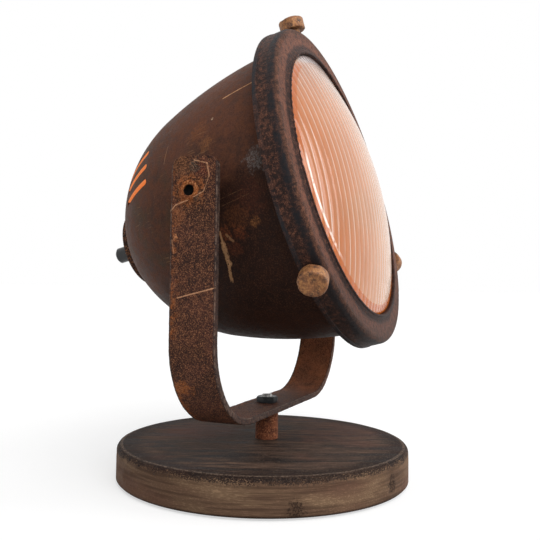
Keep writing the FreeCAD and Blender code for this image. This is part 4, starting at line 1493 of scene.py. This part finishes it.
@dataclass
class Head:
    """The bowl, the front ring and everything fixed to them."""

    def build(self) -> None:
        """Dresses the head's pieces and makes its glass and screws."""
        dress(PatinaFinish(), "bowl_shell")
        dress(RustFinish("patina_cap", paint("2A1C17"), paint("3C2820"), paint("50352A")), "rear_cap")
        dress(RingFinish(), "front_ring")
        Lens().build()
        Pivots().build()
        spacer = RustFinish("rusty_spacer", paint("3A241A"), paint("55341F"), paint("6E4326"))
        dress(spacer, "pivot_spacers", "tilt_washers")
        self.dress_inside()
        ThumbScrews().build()

    def dress_inside(self) -> None:
        """Gives the pieces inside the head their finishes."""
        zinc = PlainFinish("zinc_inside", paint("8E8C88"), paint("5B5650"), 0.85, 0.38)
        brass = PlainFinish("brass_inside", paint("B08D45"), paint("7A6030"), 0.9, 0.35)
        black = PlainFinish("black_gland", paint("0E0F10"), paint("2A2A2C"), 0.0, 0.32, 500.0)
        dress(zinc, "pivot_doublers", "pivot_nuts", "holder_stem", "stem_nut", "clamp_bosses", "lens_clips")
        dress(brass, "thread_shell", "holder_contact", "earth_screw")
        dress(black, "cord_gland")
        dress(PlainFinish("phenolic", paint("2A1A14"), paint("3A261E"), 0.0, 0.4), "lampholder")
        dress(PlainFinish("gasket_rubber", paint("1C1C1C"), paint("2E2E2E"), 0.0, 0.8), "lens_gasket")
        dress(PlainFinish("nickel_cap", paint("B4AFA2"), paint("857E70"), 0.9, 0.32), "bulb_cap")
        dress(GlowFinish("lit_bulb", (1.0, 0.62, 0.36, 1.0), 0.9), "bulb_glass")
        dress(GlowFinish("lit_wire", (1.0, 0.75, 0.4, 1.0), 12.0), "bulb_filament", "bulb_stem")


@dataclass
class Pivots:
    """The two pivot screws, whose low heads are lumpy with rust round a deep socket."""

    head_radius: float = 0.0062
    head_height: float = 0.0015
    socket_radius: float = 0.0030
    socket_depth: float = 0.0034
    shank_radius: float = 0.0040
    past_nut: float = 0.0085
    segments: int = 72
    unevenness: float = 0.00045

    def build(self) -> None:
        """Makes both screws as one piece, as long as the nuts that they stand out of ask for."""
        low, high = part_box("yoke_bar")
        nut_low, nut_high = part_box("pivot_nuts")
        inner = (nut_high[0] - nut_low[0]) / 2 - self.past_nut
        build = bmesh.new()
        for side, face in ((-1, low[0]), (1, high[0])):
            build.from_mesh(self.screw(side, face, inner))
        piece = new_piece("pivot_pair", mesh_of("pivot_pair", build), PivotFinish().make(), Body.HEAD)
        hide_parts("pivot_screws")

    def screw(self, side: int, face: float, inner: float) -> bpy.types.Mesh:
        """Makes one screw with a lumpy head.

        Args:
            side: -1 for the near arm, or 1 for the far one.
            face: Where the arm's outer face is.
            inner: How far from the lamp's middle the screw ends.

        Returns:
            The screw's mesh.
        """
        seat = abs(face - PIVOT.x)
        top = seat + self.head_height
        shank, head, socket = self.shank_radius, self.head_radius, self.socket_radius
        bottom = top - self.socket_depth
        crown = [(head - 0.0016 * share ** 2, seat + math.sin(share * math.pi / 2) * self.head_height)
                 for share in (0.2, 0.4, 0.6, 0.8)]
        outline = [
            (POLE, inner), (shank - 0.0006, inner), (shank, inner + 0.0006), (shank, seat - 0.0002),
            (head - 0.0003, seat), (head, seat + 0.0002), *crown, (0.0042, top), (0.0036, top),
            (socket + 0.0002, top - 0.0003), (socket, top - 0.0008), (socket, bottom), (POLE, bottom - 0.0008),
        ]

        def lumps(place: Vector, normal: Vector) -> float:
            """Gives the depth of the lumps on the head."""
            if (place.x - face) * side < -0.0001:
                return 0.0
            wave = noise.noise(place * 330.0) + 0.5 * noise.noise(place * 800.0)
            return self.unevenness * min(0.0, wave - 0.15)

        mesh = turned("pivot_screw", outline, self.segments, lambda x, y, z: PIVOT + Vector((side * z, x, y)))
        reshaped(mesh, lumps)
        return mesh


@dataclass
class ThumbScrews:
    """Three copper screws round the ring, with unevenly worn knobs."""

    knob_radius: float = 0.0088
    knob_height: float = 0.0086
    edge: float = 0.0016
    neck_radius: float = 0.0045
    shank_radius: float = 0.0025
    stand_off: float = 0.0034
    tip_radius: float = 0.1034
    ring_radius: float = 0.1112
    place: float = 0.0548
    pitch: float = 0.0008
    thread_depth: float = 0.0003
    first_deg: float = 94.8
    segments: int = 96
    wear: float = 0.0005

    def build(self) -> None:
        """Makes the three screws, each on its own body."""
        material = CopperFinish().make()
        for index, name in enumerate(("top", "near", "far")):
            mesh = turned("copper_screw", self.outline(), self.segments, cut=self.thread)
            offset = Vector((index * 7.3, index * 7.3 * 0.5, 0.0))
            reshaped(mesh, lambda place, normal: self.dents(place, offset))
            turn = Matrix.Rotation(math.radians(90.0 - (self.first_deg + index * 120.0)), 4, "Y")
            mesh.transform(HEAD_PLACE @ Matrix.Translation((0.0, -self.place, 0.0)) @ turn)
            piece = new_piece("copper_screw_" + name, mesh, material, Body["SCREW_" + name.upper()])
            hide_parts("thumb_screw_" + name)

    def outline(self) -> list[Point]:
        """Lists the corners of a screw that points up from the lamp's axis."""
        tip, ring, shank, neck, knob = (
            self.tip_radius, self.ring_radius, self.shank_radius, self.neck_radius, self.knob_radius)
        seat = ring + self.stand_off
        end = seat + self.knob_height
        side = end - self.edge - seat - 0.0005
        flat = knob - self.edge
        shanks = []
        run = tip + 0.0006
        while run < ring:
            shanks.append((shank, run))
            run += self.pitch / 4
        return [
            (POLE, tip), (shank - 0.0006, tip), *shanks, (neck - 0.0003, ring + 0.0002), (neck, ring + 0.0006),
            (neck, seat - 0.0004), (neck + 0.0006, seat), (knob - 0.0020, seat), (knob - 0.0005, seat + 0.0001),
            (knob - 0.0001, seat + 0.0005),
            *((knob, seat + 0.0005 + side * share) for share in (0.15, 0.3, 0.45, 0.6, 0.75, 0.9)),
            *((flat + self.edge * math.cos(angle), end - self.edge + self.edge * math.sin(angle))
              for angle in (0.0, 0.26, 0.52, 0.79, 1.05, 1.31, 1.57)),
            *((flat * share, end) for share in (0.85, 0.7, 0.55, 0.4, 0.25, 0.1)), (POLE, end),
        ]

    def thread(self, radius: float, height: float, share: float) -> float:
        """Cuts the thread into the shank."""
        on_shank = abs(radius - self.shank_radius) < 1e-6
        return radius - (groove(height / self.pitch, share, self.thread_depth) if on_shank else 0.0)

    def dents(self, place: Vector, offset: Vector) -> float:
        """Gives the depth of the knob's soft flats and dents, whose pattern the offset moves."""
        if place.z < self.ring_radius + self.stand_off - 0.0001:
            return 0.0
        wave = noise.noise(place * 170.0 + offset) + 0.45 * noise.noise(place * 420.0 + offset)
        return self.wear * min(0.0, wave - 0.1)


@dataclass(frozen=True)
class PhotoCamera:
    """The photograph's camera, solved from the lamp's edges."""

    turn_deg: float = -67.03
    rise_deg: float = -3.13
    distance: float = 0.514
    aim_height: float = 0.1615
    focal_pixels: float = 724.77
    centre_x: float = 265.35
    centre_y: float = 243.63
    roll_deg: float = 0.78
    picture: float = 540.0
    sensor: float = 36.0

    def build(self) -> None:
        """Makes the camera."""
        turn, rise, roll = (math.radians(angle) for angle in (self.turn_deg, self.rise_deg, self.roll_deg))
        back = Vector((math.sin(turn) * math.cos(rise), -math.cos(turn) * math.cos(rise), math.sin(rise)))
        level = Vector((math.cos(turn), math.sin(turn), 0.0))
        upright = back.cross(level)
        right = level * math.cos(roll) + upright * math.sin(roll)
        top = upright * math.cos(roll) - level * math.sin(roll)
        data = bpy.data.cameras.new("camera")
        data.sensor_width = self.sensor
        data.lens = self.focal_pixels * self.sensor / self.picture
        data.shift_x = 0.5 - self.centre_x / self.picture
        data.shift_y = self.centre_y / self.picture - 0.5
        data.clip_start = 0.01
        camera = linked("camera", data)
        place = Vector((0.0, 0.0, self.aim_height)) + back * self.distance
        camera.matrix_world = Matrix.Translation(place) @ Matrix((right, top, back)).transposed().to_4x4()
        bpy.context.scene.camera = camera


@dataclass
class Studio:
    """The pale floor, the white surroundings and the soft lamps."""

    floor_size: float = 30.0
    floor_colour: Colour = (0.5, 0.5, 0.5, 1.0)
    floor_lift: float = 0.58
    ambient: float = 0.42

    def build(self) -> None:
        """Makes the studio."""
        self.floor()
        self.world()
        self.lamp("key", (-0.75, -0.85, 1.25), 1.9, 50.0)
        self.lamp("front", (0.6, -1.6, 0.9), 1.0, 40.0)
        bpy.context.scene.view_settings.view_transform = "Standard"

    def seen(self, tree: Tree) -> Value:
        """Gives one for what the camera, metal and glass see, and nought for what is only lit."""
        rays = tree.add("ShaderNodeLightPath").outputs
        camera, glossy, through = (
            Value(tree, rays[f"Is {kind} Ray"]) for kind in ("Camera", "Glossy", "Transmission"))
        return tree.math("MAXIMUM", camera, tree.math("MAXIMUM", glossy, through))

    def floor(self) -> None:
        """Makes the floor, which shows white to the camera away from the lamp's shadow."""
        half = self.floor_size / 2
        mesh = bpy.data.meshes.new("floor")
        corners = [(-half, -half, 0), (half, -half, 0), (half, half, 0), (-half, half, 0)]
        mesh.from_pydata(corners, [], [(0, 1, 2, 3)])
        floor = linked("floor", mesh)
        finish = Finish("pale_floor")
        finish.set(
            Base_Color=self.floor_colour,
            Roughness=0.9,
            Specular_IOR_Level=0.0,
            Emission_Color=WHITE,
            Emission_Strength=self.seen(finish) * self.floor_lift,
        )
        mesh.materials.append(finish.material)

    def world(self) -> None:
        """Makes the white surroundings, dimmer for what they light than for what sees them."""
        world = bpy.data.worlds.new("surroundings")
        world.use_nodes = True
        tree = Tree(world.node_tree)
        strength = self.seen(tree) * (1.0 - self.ambient) + self.ambient
        light = tree.value("ShaderNodeBackground", "Background", {"Color": WHITE, "Strength": strength})
        tree.add("ShaderNodeOutputWorld", {"Surface": light})
        bpy.context.scene.world = world

    def lamp(self, name: str, place: Place, strength: float, spread_deg: float) -> None:
        """Makes a soft lamp far away, so that it lights the floor evenly.

        Args:
            name: The lamp's name.
            place: Where it shines from.
            strength: Its strength.
            spread_deg: How wide it looks from the object, which softens its shadow.
        """
        data = bpy.data.lights.new(name, "SUN")
        data.energy = strength
        data.angle = math.radians(spread_deg)
        lamp = linked(name, data)
        lamp.location = Vector(place)
        aim = Vector((0.0, 0.0, 0.15)) - lamp.location
        lamp.rotation_mode = "QUATERNION"
        lamp.rotation_quaternion = aim.to_track_quat("-Z", "Y")


def main() -> None:
    """Builds the scene in order."""
    logging.basicConfig(level=logging.INFO, format="%(name)s %(message)s")
    PhotoCamera().build()
    Studio().build()
    Stand().build()
    Yoke().build()
    Head().build()


if __name__ == "__main__":
    main()
